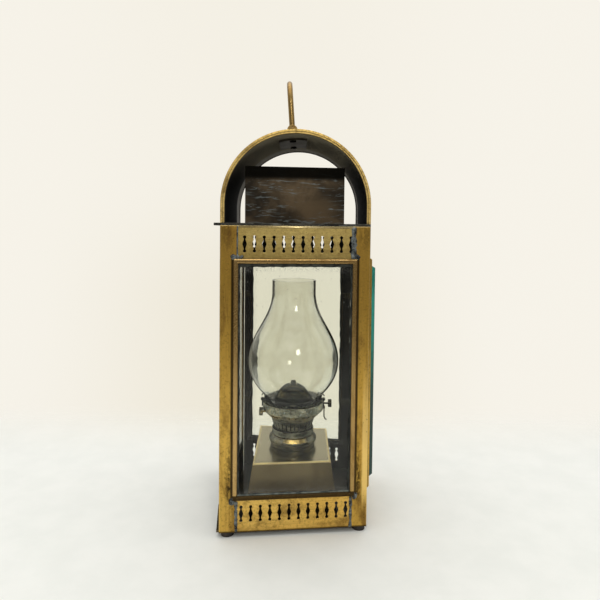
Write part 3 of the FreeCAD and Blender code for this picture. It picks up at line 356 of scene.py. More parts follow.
def brass(name, gold, pale, stain, brush, inside=None, edge=WORN_EDGE, seed=0.0, rough=0.32,
          fine=1.0, edge_width=0.0007, beads=False, mottled=0.0, top_shade_and_highlight_z=None, dark_foot=None,
          dark_within=None):
    """Aged brass: cloudy gold, brown stains, specks, brushing, worn edges, and inner corners
    darkened with grime and painted shade.
    """
    material, g = new_graph(name)
    shift = (seed, seed * 0.7, seed * 1.3)
    drawn = STAIN[brush]
    clouds = g.noise(13.0, 3.0, 0.5, drawn, shift)
    patches = g.noise(52.0, 6.0, 0.66, drawn, shift, twist=0.5)
    grain = g.noise(900.0, 2.0, 0.5, BRUSH[brush], shift)
    speckle = g.noise(420.0 * fine, 3.0, 0.6, shift=shift)
    base = g.mix(g.ramp(clouds, 0.34, 0.66), gold, pale)
    base = g.mix(g.ramp(grain, 0.35, 0.75, 0.0, 0.26), base, BRUSHED)
    base = g.mix(g.ramp(speckle, 0.50, 0.70, 0.0, 0.45), base, SPECKLED)
    brown = g.times(g.ramp(patches, 0.46, 0.68), stain)
    base = g.mix(brown, base, BROWN)
    if mottled:
        flakes = g.noise(240.0, 5.0, 0.7, shift=shift, twist=0.4)
        base = g.mix(g.ramp(flakes, 0.50, 0.36, 0.0, mottled), base, FLAKE_BRIGHT)
        base = g.mix(g.ramp(flakes, 0.56, 0.72, 0.0, mottled), base, FLAKE_DULL)
    if beads:
        lines, corners, painted_highlight = beside_beads(g)
        # Painted highlight on the right posts; dull strips by the beads and stained corners
        # darkened with grime and painted shade
        base = g.mix(g.times(painted_highlight, 0.8), base, POST_HIGHLIGHT)
        mottle = g.noise(260.0, 6.0, 0.75, (1.0, 1.0, 0.5), shift, twist=0.6)
        foul = g.times(corners, g.ramp(mottle, 0.38, 0.56))
        base = g.mix(g.times(g.larger(foul, lines), 0.9), base, GRIME_AND_SHADE)
    base = g.mix(g.times(g.edges(edge_width), 0.75), base, edge)
    # Painted highlight along the strip's top edge; lower down the strip turns darker, a painted
    # shade
    if top_shade_and_highlight_z is not None:
        height = g.height()
        shade = g.ramp(height, top_shade_and_highlight_z - 0.012, top_shade_and_highlight_z - 0.032, 0.0, 0.25)
        base = g.mix(shade, base, STRIP_SHADE)
        line = g.ramp(height, top_shade_and_highlight_z - 0.0004, top_shade_and_highlight_z + 0.0002, 0.0, 0.9)
        base = g.mix(line, base, STRIP_TOP_HIGHLIGHT)
    spots = g.times(g.dots(300.0, 0.20, shift), g.ramp(patches, 0.46, 0.60))
    base = g.mix(g.times(spots, 0.7), base, GRIME_AND_SHADE)
    # Inner corners darkened from ambient occlusion: grime and painted shade
    grime_and_shade = g.times(g.crevices(0.007), g.ramp(patches, 0.30, 0.58, 0.45, 1.0))
    base = g.mix(g.times(grime_and_shade, 0.9), base, GRIME_AND_SHADE)
    gloss = g.blend(brown, rough, 0.50)
    gloss = g.plus(gloss, g.ramp(speckle, 0.3, 0.8, -0.04, 0.08))
    metal = g.blend(grime_and_shade, 1.0, 0.3)
    if dark_foot is not None:
        low, high, share = dark_foot
        base = g.mix(g.ramp(g.height(), high, low, 0.0, share), base, FOOT_SHADE)
    if dark_within is not None:
        shade = g.ramp(arch_radius(g), dark_within + 0.0003, dark_within - 0.0005, 0.0, 0.92)
        base = g.mix(shade, base, ARCH_SHADE)
        gloss = g.blend(shade, gloss, 0.55)
        metal = g.blend(shade, metal, 0.3)
    if inside is not None:
        # Faces looking inwards: soot with painted shade, and in the hood painted light
        within = facing_in(g, inside)
        dark, blackening = inner_side(g, inside, patches)
        base = g.mix(within, base, dark)
        gloss = g.blend(within, gloss, blackening)
        metal = g.blend(within, metal, 0.0)
    height = g.plus(g.times(grain, 0.5), speckle)
    normal = g.bump(height, 0.00007 / fine, 0.30, g.rounded(ROUND_EDGE))
    normal = g.bump(patches, 0.0003, 0.20, normal)
    g.surface(g.principled(
        Base_Color=base, Metallic=metal, Roughness=gloss, Specular_IOR_Level=0.3, Normal=normal
    ))
    return material


# Dark metals

PAINTED_GLOW = (0.150, 0.104, 0.056)
PATINA_TOP_DARK = (0.004, 0.0035, 0.002)
GREEN_CRUST = (0.105, 0.140, 0.128)
BURNER_PITS = (0.020, 0.020, 0.017)
PALE_FLECKS = (0.50, 0.58, 0.56)
RUBBED_BRASS = (0.62, 0.44, 0.16)
GLINT_BRASS = (0.95, 0.68, 0.25)
BURNER_GRIME_AND_SHADE = (0.006, 0.006, 0.005)
BURNER_SHADE = (0.005, 0.005, 0.004)
SEAT_BAND = (SEAT_Z - 0.0008, SEAT_Z - 0.0004, SEAT_Z + 0.0004, SEAT_Z + 0.0012)


def patina(name, dark, light, scratch, scratched, seed, blackening=None, warm_painted_light=None):
    """Blackened brass with wispy scratches, and if wanted a near-black band above a height and a
    lighter brown patch, a painted glow.
    """
    material, g = new_graph(name)
    shift = (seed, seed * 1.7, seed * 0.6)
    clouds = g.noise(24.0, 4.0, 0.6, shift=shift, twist=0.4)
    grain = g.noise(500.0, 3.0, 0.6, shift=shift)
    wisps = g.noise(430.0, 4.0, 0.62, (0.15, 0.15, 1.0), shift, twist=0.8)
    zones = g.noise(46.0, 3.0, 0.5, (0.5, 0.5, 1.0), shift)
    base = g.mix(g.ramp(clouds, 0.35, 0.68), dark, light)
    if warm_painted_light is not None:
        # A lighter brown patch round the given point: a painted glow
        apart = g.vector("SUBTRACT", g.position(), warm_painted_light)
        apart = g.vector("LENGTH", g.vector("MULTIPLY", apart, (1.0, 0.0, 1.5)))
        base = g.mix(g.ramp(apart, 0.036, 0.006, 0.0, 0.7), base, PAINTED_GLOW)
    lines = g.times(g.ramp(wisps, 0.52, 0.68), g.ramp(zones, 0.36, 0.54))
    base = g.mix(g.times(lines, scratched), base, scratch)
    gloss = g.ramp(clouds, 0.3, 0.7, 0.52, 0.36)
    if blackening is not None:
        black = g.ramp(g.height(), *blackening, 0.0, 0.95)
        base = g.mix(black, base, PATINA_TOP_DARK)
        gloss = g.blend(black, gloss, 0.95)
    normal = g.bump(grain, 0.0001, 0.3, g.rounded(ROUND_EDGE))
    normal = g.bump(wisps, 0.0002, 0.2, normal)
    g.surface(g.principled(
        Base_Color=base, Metallic=0.55, Roughness=gloss, Specular_IOR_Level=0.2, Normal=normal
    ))
    return material


def burner_metal(name, seed, dark=(0.055, 0.053, 0.036), light=(0.200, 0.195, 0.140), rub=0.60,
                 round_edge=0.0006, edge_rub=0.75, crusted=1.0, pierced=False, shine=0.46,
                 flecks=0.0, glint_toward=None):
    """Grey-green tarnish, with brass on worn edges and worn patches, and if wanted a painted glint
    on the faces turned towards a given direction.
    """
    material, g = new_graph(name)
    shift = (seed, seed, seed)
    clouds = g.noise(150.0, 4.0, 0.6, (0.4, 0.4, 1.2), shift, twist=0.4)
    grain = g.noise(700.0, 4.0, 0.65, shift=shift)
    base = g.mix(g.ramp(clouds, 0.36, 0.62), dark, light)
    crust = g.noise(330.0, 5.0, 0.7, shift=shift, twist=0.6)
    base = g.mix(g.ramp(crust, 0.50, 0.66, 0.0, 0.6 * crusted), base, GREEN_CRUST)
    base = g.mix(g.ramp(grain, 0.50, 0.72, 0.0, 0.7 * crusted), base, BURNER_PITS)
    if flecks:
        fleck = g.noise(560.0, 3.0, 0.6, shift=(seed + 2.0, seed, seed))
        base = g.mix(g.ramp(fleck, 0.56, 0.66, 0.0, flecks), base, PALE_FLECKS)
    wear_and_highlight = g.times(g.edges(0.0005), edge_rub)
    wear_and_highlight = g.larger(wear_and_highlight, g.ramp(clouds, rub, rub + 0.14, 0.0, 0.8))
    bright_patch = RUBBED_BRASS
    # Painted glint: bright brass on the faces that turn towards the given direction
    if glint_toward is not None:
        toward_glint = g.vector("DOT_PRODUCT", g.normal(), glint_toward)
        wear_and_highlight = g.larger(wear_and_highlight, g.ramp(toward_glint, 0.88, 0.985, 0.0, 0.9))
        bright_patch = GLINT_BRASS
    base = g.mix(wear_and_highlight, base, bright_patch)
    # Inner corners darkened from ambient occlusion: grime and painted shade
    base = g.mix(g.times(g.crevices(0.004), 0.95), base, BURNER_GRIME_AND_SHADE)
    spoke = g.vector("SUBTRACT", g.position(), (LAMP_X, 0.0, 0.0))
    spoke = g.vector("MULTIPLY", spoke, (1.0, 1.0, 0.0))
    outward = g.vector("DOT_PRODUCT", g.normal(), spoke)
    hidden = g.ramp(outward, 0.008, 0.001) if pierced else g.ramp(outward, -0.002, -0.010)
    seat = g.times(g.band(g.height(), *SEAT_BAND), g.ramp(g.axes(g.normal())[2], 0.5, 0.8))
    shaded = g.larger(hidden, seat)
    base = g.mix(g.times(shaded, 0.93), base, BURNER_SHADE)
    gloss = g.blend(wear_and_highlight, shine, 0.48 * shine)
    gloss = g.blend(shaded, gloss, 0.95)
    normal = g.bump(g.plus(grain, crust), 0.00026 * crusted, 0.6, g.rounded(round_edge))
    g.surface(g.principled(
        Base_Color=base, Metallic=0.9, Roughness=gloss, Specular_IOR_Level=0.3, Normal=normal
    ))
    return material


TANK_DARK = (0.118, 0.089, 0.044)
TANK_LIGHT = (0.196, 0.151, 0.080)
TANK_BRUSHED = (0.130, 0.105, 0.068)
TANK_SPECKS = (0.09, 0.075, 0.05)
TANK_EDGE = (1.0, 0.79, 0.37)
TANK_CORNER_SHADE = (0.03, 0.028, 0.02)
TANK_LID = (0.36, 0.31, 0.195)


def tank_metal(name):
    """Dull olive-brown brass sheet, softly brushed, with a shiny lid, a bright worn edge and
    painted shade in its inner corners.
    """
    material, g = new_graph(name)
    clouds = g.noise(28.0, 4.0, 0.55, twist=0.5)
    grain = g.noise(1100.0, 2.0, 0.5, stretch=(1.0, 1.0, 0.06))
    speckle = g.noise(300.0, 4.0, 0.6)
    base = g.mix(g.ramp(clouds, 0.35, 0.66), TANK_DARK, TANK_LIGHT)
    base = g.mix(g.ramp(grain, 0.4, 0.75, 0.0, 0.25), base, TANK_BRUSHED)
    base = g.mix(g.ramp(speckle, 0.6, 0.8, 0.0, 0.35), base, TANK_SPECKS)
    at_top = g.ramp(g.height(), TANK_TOP_Z - 0.0024, TANK_TOP_Z - 0.0010)
    worn = g.times(g.edges(0.0034, 0.94), at_top)
    base = g.mix(worn, base, TANK_EDGE)
    # Painted shade in the inner corners, such as the ring round the collar's foot
    base = g.mix(g.times(g.crevices(0.006), 0.8), base, TANK_CORNER_SHADE)
    lid = g.ramp(g.axes(g.normal())[2], 0.80, 0.95)
    base = g.mix(g.times(lid, g.minus(1.0, worn)), base, TANK_LID)
    gloss = g.blend(lid, 0.48, g.ramp(clouds, 0.3, 0.7, 0.27, 0.20))
    gloss = g.blend(worn, gloss, 0.30)
    metal = g.larger(lid, g.blend(worn, 1.0, 0.25))
    normal = g.bump(g.plus(grain, speckle), 0.00003, 0.20, g.rounded(ROUND_EDGE))
    g.surface(g.principled(Base_Color=base, Metallic=metal, Roughness=gloss, Normal=normal))
    return material


# Glass

PANE_BEVEL_SLOPE = 1.2
PANE_IOR = 1.25
PANE_TINT = (0.932, 0.944, 0.893)
PANE_DUST = (0.80, 0.80, 0.74)
PANE_GRIME = (0.11, 0.11, 0.085)
THICK_IOR = 1.50
CHIMNEY_TINT = (0.925, 0.925, 0.885)
CHIMNEY_SMOKE = (0.885, 0.880, 0.825)
DOOR_TINT = (0.90, 0.965, 0.94)
TEAL_DARK = (0.02, 0.30, 0.24)
TEAL_LIGHT = (0.05, 0.46, 0.38)
TEAL_BLACK = (0.006, 0.026, 0.020)


def finish_glass(g, tint, clear, gloss, ior, normal):
    """Glass that lets light from the lamps pass, so that what stands behind it is lit."""
    glass = g.principled(
        Base_Color=tint, Transmission_Weight=clear, Roughness=gloss, IOR=ior, Normal=normal
    )
    to_lamp = g.add("LightPath").outputs["Is Shadow Ray"]
    g.surface(g.either(to_lamp, glass, g.transparent()))


def pane_glass(name):
    """Old window glass: faint tint, dirt along the edges, specks, and dust near the bottom."""
    material, g = new_graph(name)
    side, _, height = g.axes(g.position())
    smear = g.noise(60.0, 5.0, 0.65, (1.0, 1.0, 0.5), twist=0.8)
    fine = g.noise(700.0, 4.0, 0.7)
    low = g.ramp(height, 0.150, 0.100, 0.0, 0.004)
    dust = g.times(g.plus(low, 0.002), g.ramp(smear, 0.2, 0.8, 0.7, 1.4))
    crumbs = g.noise(800.0, 4.0, 0.7)
    top_dirt = g.times(g.ramp(height, 0.264, 0.277), g.ramp(crumbs, 0.50, 0.70))
    foot_dirt = g.times(g.ramp(height, 0.050, 0.042, 0.0, 0.6), g.ramp(fine, 0.46, 0.7))
    grime = g.times(g.larger(top_dirt, foot_dirt), 0.55)
    spots = g.times(g.dots(120.0, 0.07), g.ramp(height, 0.18, 0.28, 0.15, 0.9))
    grime = g.larger(grime, spots)
    solid = g.larger(dust, grime)
    tint = g.mix(g.ramp(solid, 0.0, 0.2), PANE_TINT, PANE_DUST)
    tint = g.mix(grime, tint, PANE_GRIME)
    clear = g.minus(1.0, solid, clamp=True)
    gloss = g.blend(grime, 0.012, 0.4)
    wave = g.noise(26.0, 2.0, 0.4, shift=(3.0, 1.0, 2.0))
    normal = g.bump(wave, 0.0002, 0.10)
    left = g.larger(g.minus(PANE_FLAT_LEFT, side), 0.0)
    right = g.larger(g.minus(side, PANE_FLAT_RIGHT), 0.0)
    normal = g.bump(g.plus(left, right), PANE_BEVEL_SLOPE, 1.0, normal, invert=True)
    finish_glass(g, tint, clear, gloss, PANE_IOR, normal)
    return material


def chimney_glass(name):
    """Blown glass with a smoky yellow tint, a thin film and fine flow lines."""
    material, g = new_graph(name)
    flow = g.noise(40.0, 3.0, 0.5, (1.0, 1.0, 0.15))
    haze = g.noise(55.0, 4.0, 0.6)
    tint = g.mix(g.ramp(haze, 0.35, 0.7), CHIMNEY_TINT, CHIMNEY_SMOKE)
    film = g.times(g.ramp(haze, 0.45, 0.75, 0.001, 0.010), g.ramp(g.height(), 0.25, 0.13, 0.4, 1.2))
    clear = g.minus(1.0, film, clamp=True)
    finish_glass(g, tint, clear, 0.006, THICK_IOR, g.bump(flow, 0.0004, 0.08))
    return material


def door_glass(name):
    """Thick plate glass with a ground bevel that looks teal, darker towards the bottom."""
    material, g = new_graph(name)
    _, y, z = g.axes(g.position())
    smear = g.noise(45.0, 5.0, 0.6)
    across = g.ramp(g.math("ABSOLUTE", y), DOOR_FLAT_Y - 0.0006, DOOR_FLAT_Y + 0.0004)
    upward = g.math("ABSOLUTE", g.minus(z, DOOR_MIDDLE_Z))
    upward = g.ramp(upward, DOOR_FLAT_Z - 0.0006, DOOR_FLAT_Z + 0.0004)
    ground = g.larger(across, upward)
    clear = g.blend(ground, g.ramp(smear, 0.3, 0.8, 0.99, 0.95), 0.35)
    teal = g.mix(g.ramp(smear, 0.3, 0.7), TEAL_DARK, TEAL_LIGHT)
    teal = g.mix(g.ramp(z, 0.225, 0.115, 0.0, 0.93), teal, TEAL_BLACK)
    tint = g.mix(ground, DOOR_TINT, teal)
    gloss = g.blend(ground, g.ramp(smear, 0.3, 0.8, 0.012, 0.03), 0.22)
    normal = g.bump(g.noise(20.0, 2.0, 0.4), 0.0002, 0.08)
    finish_glass(g, tint, clear, gloss, THICK_IOR, normal)
    return material


# Other materials

SOLDER_DARK = (0.014, 0.016, 0.017)
SOLDER_LIGHT = (0.185, 0.208, 0.208)
SOLDER_RIDGE = (0.40, 0.42, 0.40)
PUTTY_DARK = (0.007, 0.009, 0.006)
PUTTY_LIGHT = (0.035, 0.040, 0.030)
PUTTY_SPECKS = (0.14, 0.15, 0.12)
PUTTY_DUST = (0.20, 0.23, 0.20)
PUTTY_DUST_Z = (0.0440, 0.0432)
COTTON_DARK = (0.36, 0.30, 0.20)
COTTON_LIGHT = (0.52, 0.46, 0.34)
COTTON_OIL = (0.25, 0.20, 0.13)
COTTON_CHAR = (0.012, 0.011, 0.010)
CHAR_Z = (0.123, 0.127)
FOOT_DARK = (0.010, 0.007, 0.005)
FOOT_LIGHT = (0.040, 0.026, 0.016)
FOOT_EDGE = (0.12, 0.08, 0.045)


def solder_metal(name):
    """Dull lead solder, blue-grey with pale rubbed ridges."""
    material, g = new_graph(name)
    clouds = g.noise(180.0, 4.0, 0.6)
    grain = g.noise(900.0, 3.0, 0.6)
    base = g.mix(g.ramp(clouds, 0.36, 0.66), SOLDER_DARK, SOLDER_LIGHT)
    base = g.mix(g.ramp(grain, 0.56, 0.72, 0.0, 0.75), base, SOLDER_RIDGE)
    gloss = g.ramp(clouds, 0.3, 0.7, 0.62, 0.40)
    normal = g.bump(g.plus(clouds, grain), 0.0003, 0.6)
    g.surface(g.principled(Base_Color=base, Metallic=0.6, Roughness=gloss, Normal=normal))
    return material


def putty_stuff(name):
    """Old black-green glazing putty, cracked and dusty."""
    material, g = new_graph(name)
    clouds = g.noise(120.0, 5.0, 0.65)
    grain = g.noise(1200.0, 3.0, 0.6)
    base = g.mix(g.ramp(clouds, 0.4, 0.7), PUTTY_DARK, PUTTY_LIGHT)
    base = g.mix(g.ramp(grain, 0.62, 0.8, 0.0, 0.5), base, PUTTY_SPECKS)
    dust = g.times(g.ramp(g.height(), *PUTTY_DUST_Z), g.ramp(clouds, 0.35, 0.6, 0.2, 0.9))
    base = g.mix(dust, base, PUTTY_DUST)
    gloss = g.ramp(clouds, 0.3, 0.7, 0.85, 0.6)
    normal = g.bump(g.plus(clouds, grain), 0.0004, 0.7)
    g.surface(g.principled(Base_Color=base, Roughness=gloss, Normal=normal))
    return material


def cotton(name):
    """Woven wick, oil-stained, with a charred top."""
    material, g = new_graph(name)
    weave = g.add("TexWave", wave_type="BANDS", bands_direction="Z")
    g.put(weave.inputs["Vector"], g.position())
    weave.inputs["Scale"].default_value = 900.0
    weave.inputs["Distortion"].default_value = 1.5
    cross = g.noise(1500.0, 2.0, 0.5)
    base = g.mix(weave.outputs["Fac"], COTTON_DARK, COTTON_LIGHT)
    base = g.mix(g.ramp(cross, 0.4, 0.7, 0.0, 0.4), base, COTTON_OIL)
    base = g.mix(g.ramp(g.height(), *CHAR_Z), base, COTTON_CHAR)
    normal = g.bump(weave.outputs["Fac"], 0.0003, 0.6)
    g.surface(g.principled(Base_Color=base, Roughness=0.9, Normal=normal))
    return material


def foot_finish(name):
    """Black-brown paint, scuffed."""
    material, g = new_graph(name)
    clouds = g.noise(120.0, 4.0, 0.6)
    base = g.mix(g.ramp(clouds, 0.4, 0.7), FOOT_DARK, FOOT_LIGHT)
    base = g.mix(g.times(g.edges(0.0008), 0.5), base, FOOT_EDGE)
    gloss = g.ramp(clouds, 0.3, 0.7, 0.62, 0.42)
    normal = g.bump(g.noise(600.0, 3.0, 0.6), 0.0002, 0.5)
    g.surface(g.principled(Base_Color=base, Roughness=gloss, Normal=normal))
    return material


# Materials of the carried-over solids and of the added pieces

RIM_GOLD_WIDTH = 0.0038
RIM_GOLD_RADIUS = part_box("hood_rim_front")[1][0] - RIM_GOLD_WIDTH
CASE_FOOT = (0.0056, 0.0073, 0.88)
BEAD_FOOT = (0.0430, 0.0440, 0.95)
GOLD = (0.610, 0.362, 0.066)
GOLD_PALE = (0.680, 0.428, 0.092)
OLIVE = (0.740, 0.530, 0.150)
OLIVE_PALE = (0.830, 0.630, 0.220)
# The posts' wider bright edges are worn brass and partly a painted highlight along the corners
post_brass = brass("post_brass", GOLD, GOLD_PALE, 0.80, "up", CASE_INSIDE, (0.90, 0.68, 0.30),
                   seed=1.3, edge_width=0.0019, beads=True, dark_foot=CASE_FOOT)
lower_brass = brass("lower_brass", (0.770, 0.475, 0.105), (0.860, 0.570, 0.150), 0.65, "across",
                    CASE_INSIDE, seed=4.1, dark_foot=CASE_FOOT)
upper_brass = brass("upper_brass", OLIVE, OLIVE_PALE, 0.55, "across", CASE_INSIDE, seed=7.7,
                    mottled=0.4, top_shade_and_highlight_z=UPPER_STRIP_TOP_Z)
bead_brass = brass("bead_brass", (0.42, 0.27, 0.10), (0.56, 0.37, 0.15), 0.55, "up", seed=2.9,
                   rough=0.24, fine=3.0, dark_foot=BEAD_FOOT)
rim_brass = brass("rim_brass", (0.76, 0.53, 0.165), (0.88, 0.65, 0.24), 0.6, "across", seed=9.2,
                  rough=0.44, dark_within=RIM_GOLD_RADIUS)
back_rim_brass = brass("back_rim_brass", (0.66, 0.46, 0.155), (0.78, 0.58, 0.22), 0.6, "across",
                       RIM_INSIDE, seed=9.9, rough=0.44)
hood_brass = brass("hood_brass", GOLD, OLIVE_PALE, 0.7, "across", HOOD_INSIDE, seed=5.5)
handle_brass = brass("handle_brass", (0.27, 0.170, 0.052), (0.38, 0.255, 0.092), 0.7, "up",
                     seed=3.4)
fillet_brass = brass("fillet_brass", (0.95, 0.74, 0.33), (1.0, 0.82, 0.42), 0.1, "across", seed=8.1,
                     rough=0.36)
door_brass = brass("door_brass", GOLD, GOLD_PALE, 0.55, "up", seed=6.6)
# The vent box's lighter brown patch low on the right is a painted glow
box_patina = patina("box_patina", (0.026, 0.020, 0.013), (0.130, 0.092, 0.052), (0.20, 0.23, 0.23),
                    0.8, 2.2, blackening=(0.3600, 0.3655), warm_painted_light=(0.020, 0.0, 0.329))
deck_patina = patina("deck_patina", (0.022, 0.021, 0.017), (0.085, 0.082, 0.066),
                     (0.30, 0.31, 0.28), 0.4, 8.8)
dark_patina = patina("dark_patina", (0.016, 0.014, 0.010), (0.060, 0.050, 0.032),
                     (0.18, 0.15, 0.09), 0.3, 4.4)
soot_patina = patina("soot_patina", (0.007, 0.006, 0.005), (0.020, 0.017, 0.012),
                     (0.05, 0.04, 0.03), 0.3, 6.1, blackening=(0.380, 0.390))
plate_patina = patina("plate_patina", (0.036, 0.030, 0.020), (0.070, 0.058, 0.038),
                      (0.11, 0.09, 0.06), 0.3, 3.7)
lip_patina = patina("lip_patina", (0.030, 0.026, 0.018), (0.120, 0.090, 0.045), (0.26, 0.20, 0.10),
                    0.4, 1.9)
burner_brass = burner_metal("burner_brass", 0.4, (0.036, 0.036, 0.026), (0.310, 0.300, 0.225), 0.62,
                            edge_rub=0.25, pierced=True)
winder_brass = burner_metal("winder_brass", 3.2)
dome_brass = burner_metal("dome_brass", 1.7, (0.004, 0.004, 0.003), (0.016, 0.016, 0.011), 0.72)
gallery_brass = burner_metal("gallery_brass", 2.3, (0.175, 0.170, 0.120), (0.640, 0.610, 0.450),
                             0.54, crusted=1.3, flecks=0.8)
# The collar's bright spot at the upper front is a painted glint
collar_brass = burner_metal("collar_brass", 5.1, (0.060, 0.062, 0.050), (0.250, 0.225, 0.150), 0.58,
                            round_edge=0.0022, edge_rub=0.5, crusted=0.4, shine=0.30, flecks=0.3,
                            glint_toward=(0.10, -0.80, 0.59))
teeth_brass = burner_metal("teeth_brass", 6.4, (0.030, 0.030, 0.022), (0.140, 0.140, 0.105), 0.64)
tank_brass = tank_metal("tank_brass")
pane = pane_glass("pane_glass")
chimney_clear = chimney_glass("chimney_glass")
door_clear = door_glass("door_glass")
solder = solder_metal("solder")
putty = putty_stuff("putty")
wick_cotton = cotton("wick_cotton")
foot_black = foot_finish("foot_black")

# Material by the start of a node's name; the longest start that fits counts
LOOKS = {
    "corner_post_": post_brass, "lower_vent_": lower_brass, "upper_vent_": upper_brass,
    "glass_frame_": bead_brass, "pane_": pane, "glazing_clips": dark_patina,
    "base_plate": dark_patina, "left_kick_lip": lip_patina, "feet": foot_black,
    "deck_plate": deck_patina, "vent_box": box_patina, "hood_shell": hood_brass,
    "hood_rim_front": rim_brass, "hood_rim_back": back_rim_brass, "carry_bail": handle_brass,
    "handle_ears": handle_brass, "handle_rivets": soot_patina, "handle_backing_plate": plate_patina,
    "door_frame": door_brass, "door_glass": door_clear, "door_hinge_leaves": door_brass,
    "door_catch": door_brass, "post_hinge_leaves": door_brass, "hinge_pins": door_brass,
    "oil_tank": tank_brass, "tank_stops": dark_patina, "tank_collar": collar_brass,
    "wick_tube": dome_brass, "burner_air_band": burner_brass, "burner_gallery": gallery_brass,
    "flame_dome": dome_brass, "front_winder": winder_brass, "rear_winder": winder_brass,
    "front_wick": wick_cotton, "rear_wick": wick_cotton, "chimney_clips": burner_brass,
    "gallery_wire": winder_brass, "chimney": chimney_clear,
}


def dress(target, material):
    if not target.material_slots:
        target.data.materials.append(material)
    for slot in target.material_slots:
        slot.material = material


for node_name, node in nodes.items():
    prefix = max((key for key in LOOKS if node_name.startswith(key)), key=len)
    dress(node, LOOKS[prefix])


# Added pieces: solder, putty, gallery teeth and tabs, fillets under the deck, the dome's skirt

UP = Vector((0.0, 0.0, 1.0))
SLANT = Vector((1.0, SLOPE, 0.0)).normalized()
BACK_SLANT = Vector((-SLANT.x, SLANT.y, 0.0))
REARWARD = Vector((0.0, 1.0, 0.0))
FORWARD = Vector((0.0, -1.0, 0.0))
FRONT_HALF = HALF_WIDTH * math.sqrt(1.0 + SLOPE * SLOPE)
RIGHT_HALF = MID_HALF_DEPTH - SLOPE * HALF_WIDTH
LEFT_HALF = MID_HALF_DEPTH + SLOPE * HALF_WIDTH
Face = namedtuple("Face", "middle along half flange")
FACES = {
    "front": Face(Vector((0.0, -MID_HALF_DEPTH, 0.0)), SLANT, FRONT_HALF, POST_FLANGE),
    "right": Face(Vector((HALF_WIDTH, 0.0, 0.0)), REARWARD, RIGHT_HALF, DOOR_FLANGE),
    "back": Face(Vector((0.0, MID_HALF_DEPTH, 0.0)), BACK_SLANT, FRONT_HALF, POST_FLANGE),
    "left": Face(Vector((-HALF_WIDTH, 0.0, 0.0)), FORWARD, LEFT_HALF, POST_FLANGE),
}


def on_face(face, along, up, out):
    """Place on a face of the case: along it from its middle, up from the floor, and out of it."""
    plane = FACES[face]
    return plane.middle + plane.along * along + UP * up + plane.along.cross(UP) * out


def round_lamp(radius, turn, height):
    """Place at a distance and an angle from the lamp's axis."""
    return Vector((LAMP_X + radius * math.cos(turn), radius * math.sin(turn), height))


def ragged(place, scale, seed):
    """Smooth noise between -1 and 1 that is the same on every run."""
    return noise.noise(place * scale + Vector((seed, seed * 2.1, seed * 0.7)))


def add_piece(name, mesh_builder, material):
    """Make a smooth mesh piece that rides on the case."""
    mesh = bpy.data.meshes.new(name)
    mesh_builder.normal_update()
    bmesh.ops.recalc_face_normals(mesh_builder, faces=mesh_builder.faces)
    mesh_builder.to_mesh(mesh)
    mesh_builder.free()
    for polygon in mesh.polygons:
        polygon.use_smooth = True
    mesh.materials.append(material)
    piece = bpy.data.objects.new(name, mesh)
    scene.collection.objects.link(piece)
    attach(piece, "case")


def skin(builder, rings, closed):
    """Join rings of points into a surface; open chains of rings get end caps."""
    rows = [[builder.verts.new(point) for point in ring] for ring in rings]
    size = len(rows[0])
    last = len(rows) if closed else len(rows) - 1
    for i in range(last):
        here, after = rows[i], rows[(i + 1) % len(rows)]
        for j in range(size):
            k = (j + 1) % size
            builder.faces.new((here[j], here[k], after[k], after[j]))
    if not closed:
        builder.faces.new(rows[0])
        builder.faces.new(list(reversed(rows[-1])))


Seam = namedtuple("Seam", "bottom top width height rough")
LOWER_SEAM = Seam(BASE_Z + 0.0005, SILL_Z - 0.001, 0.0032, 0.0009, 0.50)
UPPER_SEAM = Seam(HEAD_Z + 0.001, DECK_Z - 0.0006, 0.0017, 0.0006, 0.30)
BROAD_SEAM = UPPER_SEAM._replace(width=0.0056, rough=0.40)
SEAM_STEP = 0.0008
SEAM_ARC = 7
SEAM_SINK = 0.00012


def add_seam(builder, face, along, seam, seed):
    """Lay a run of solder up a joint, its edges wandering."""
    tall = seam.top - seam.bottom
    steps = max(8, int(tall / SEAM_STEP))
    rings = []
    for i in range(steps + 1):
        up = seam.bottom + tall * i / steps
        spot = on_face(face, along, up, 0.0)
        taper = min(1.0, 0.7 + 8.0 * min(i, steps - i) / steps)
        broad = seam.rough * ragged(spot, 330.0, seed)
        small = 0.4 * seam.rough * ragged(spot, 1100.0, seed)
        half = seam.width / 2 * taper * (1.0 + broad + small)
        lift = seam.height * taper * (1.0 + 0.8 * ragged(spot, 620.0, seed + 5.0))
        drift = seam.width * 0.25 * seam.rough * ragged(spot, 180.0, seed + 9.0)
        ring = []
        for j in range(SEAM_ARC):
            angle = math.pi * j / (SEAM_ARC - 1)
            side = drift + half * math.cos(angle)
            ring.append(on_face(face, along + side, up, lift * math.sin(angle) - SEAM_SINK))
        rings.append(ring)
    skin(builder, rings, False)


LUMP_RINGS = 9
LUMP_AROUND = 20
LUMP_HEIGHT = 0.0014
LUMP_SINK = 0.0001
LUMP_CLOSED = 0.97


def add_lump(builder, face, along, up, reach, seed):
    """Set a lump of solder on a frame corner."""
    rings = []
    for i in range(LUMP_RINGS):
        share = i / (LUMP_RINGS - 1)
        ring = []
        for j in range(LUMP_AROUND):
            turn = 2.0 * math.pi * j / LUMP_AROUND
            edge = on_face(face, along + reach * math.cos(turn), up + reach * math.sin(turn), 0.0)
            wide = reach * (1.0 + 0.45 * ragged(edge, 300.0, seed))
            wide *= math.cos(share * math.pi / 2 * LUMP_CLOSED)
            lift = LUMP_HEIGHT * math.sin(share * math.pi / 2)
            lift *= 1.0 + 0.2 * ragged(edge, 700.0, seed + 3.0)
            ring.append(on_face(
                face, along + wide * math.cos(turn), up + wide * math.sin(turn), lift - LUMP_SINK
            ))
        rings.append(ring)
    skin(builder, rings, False)


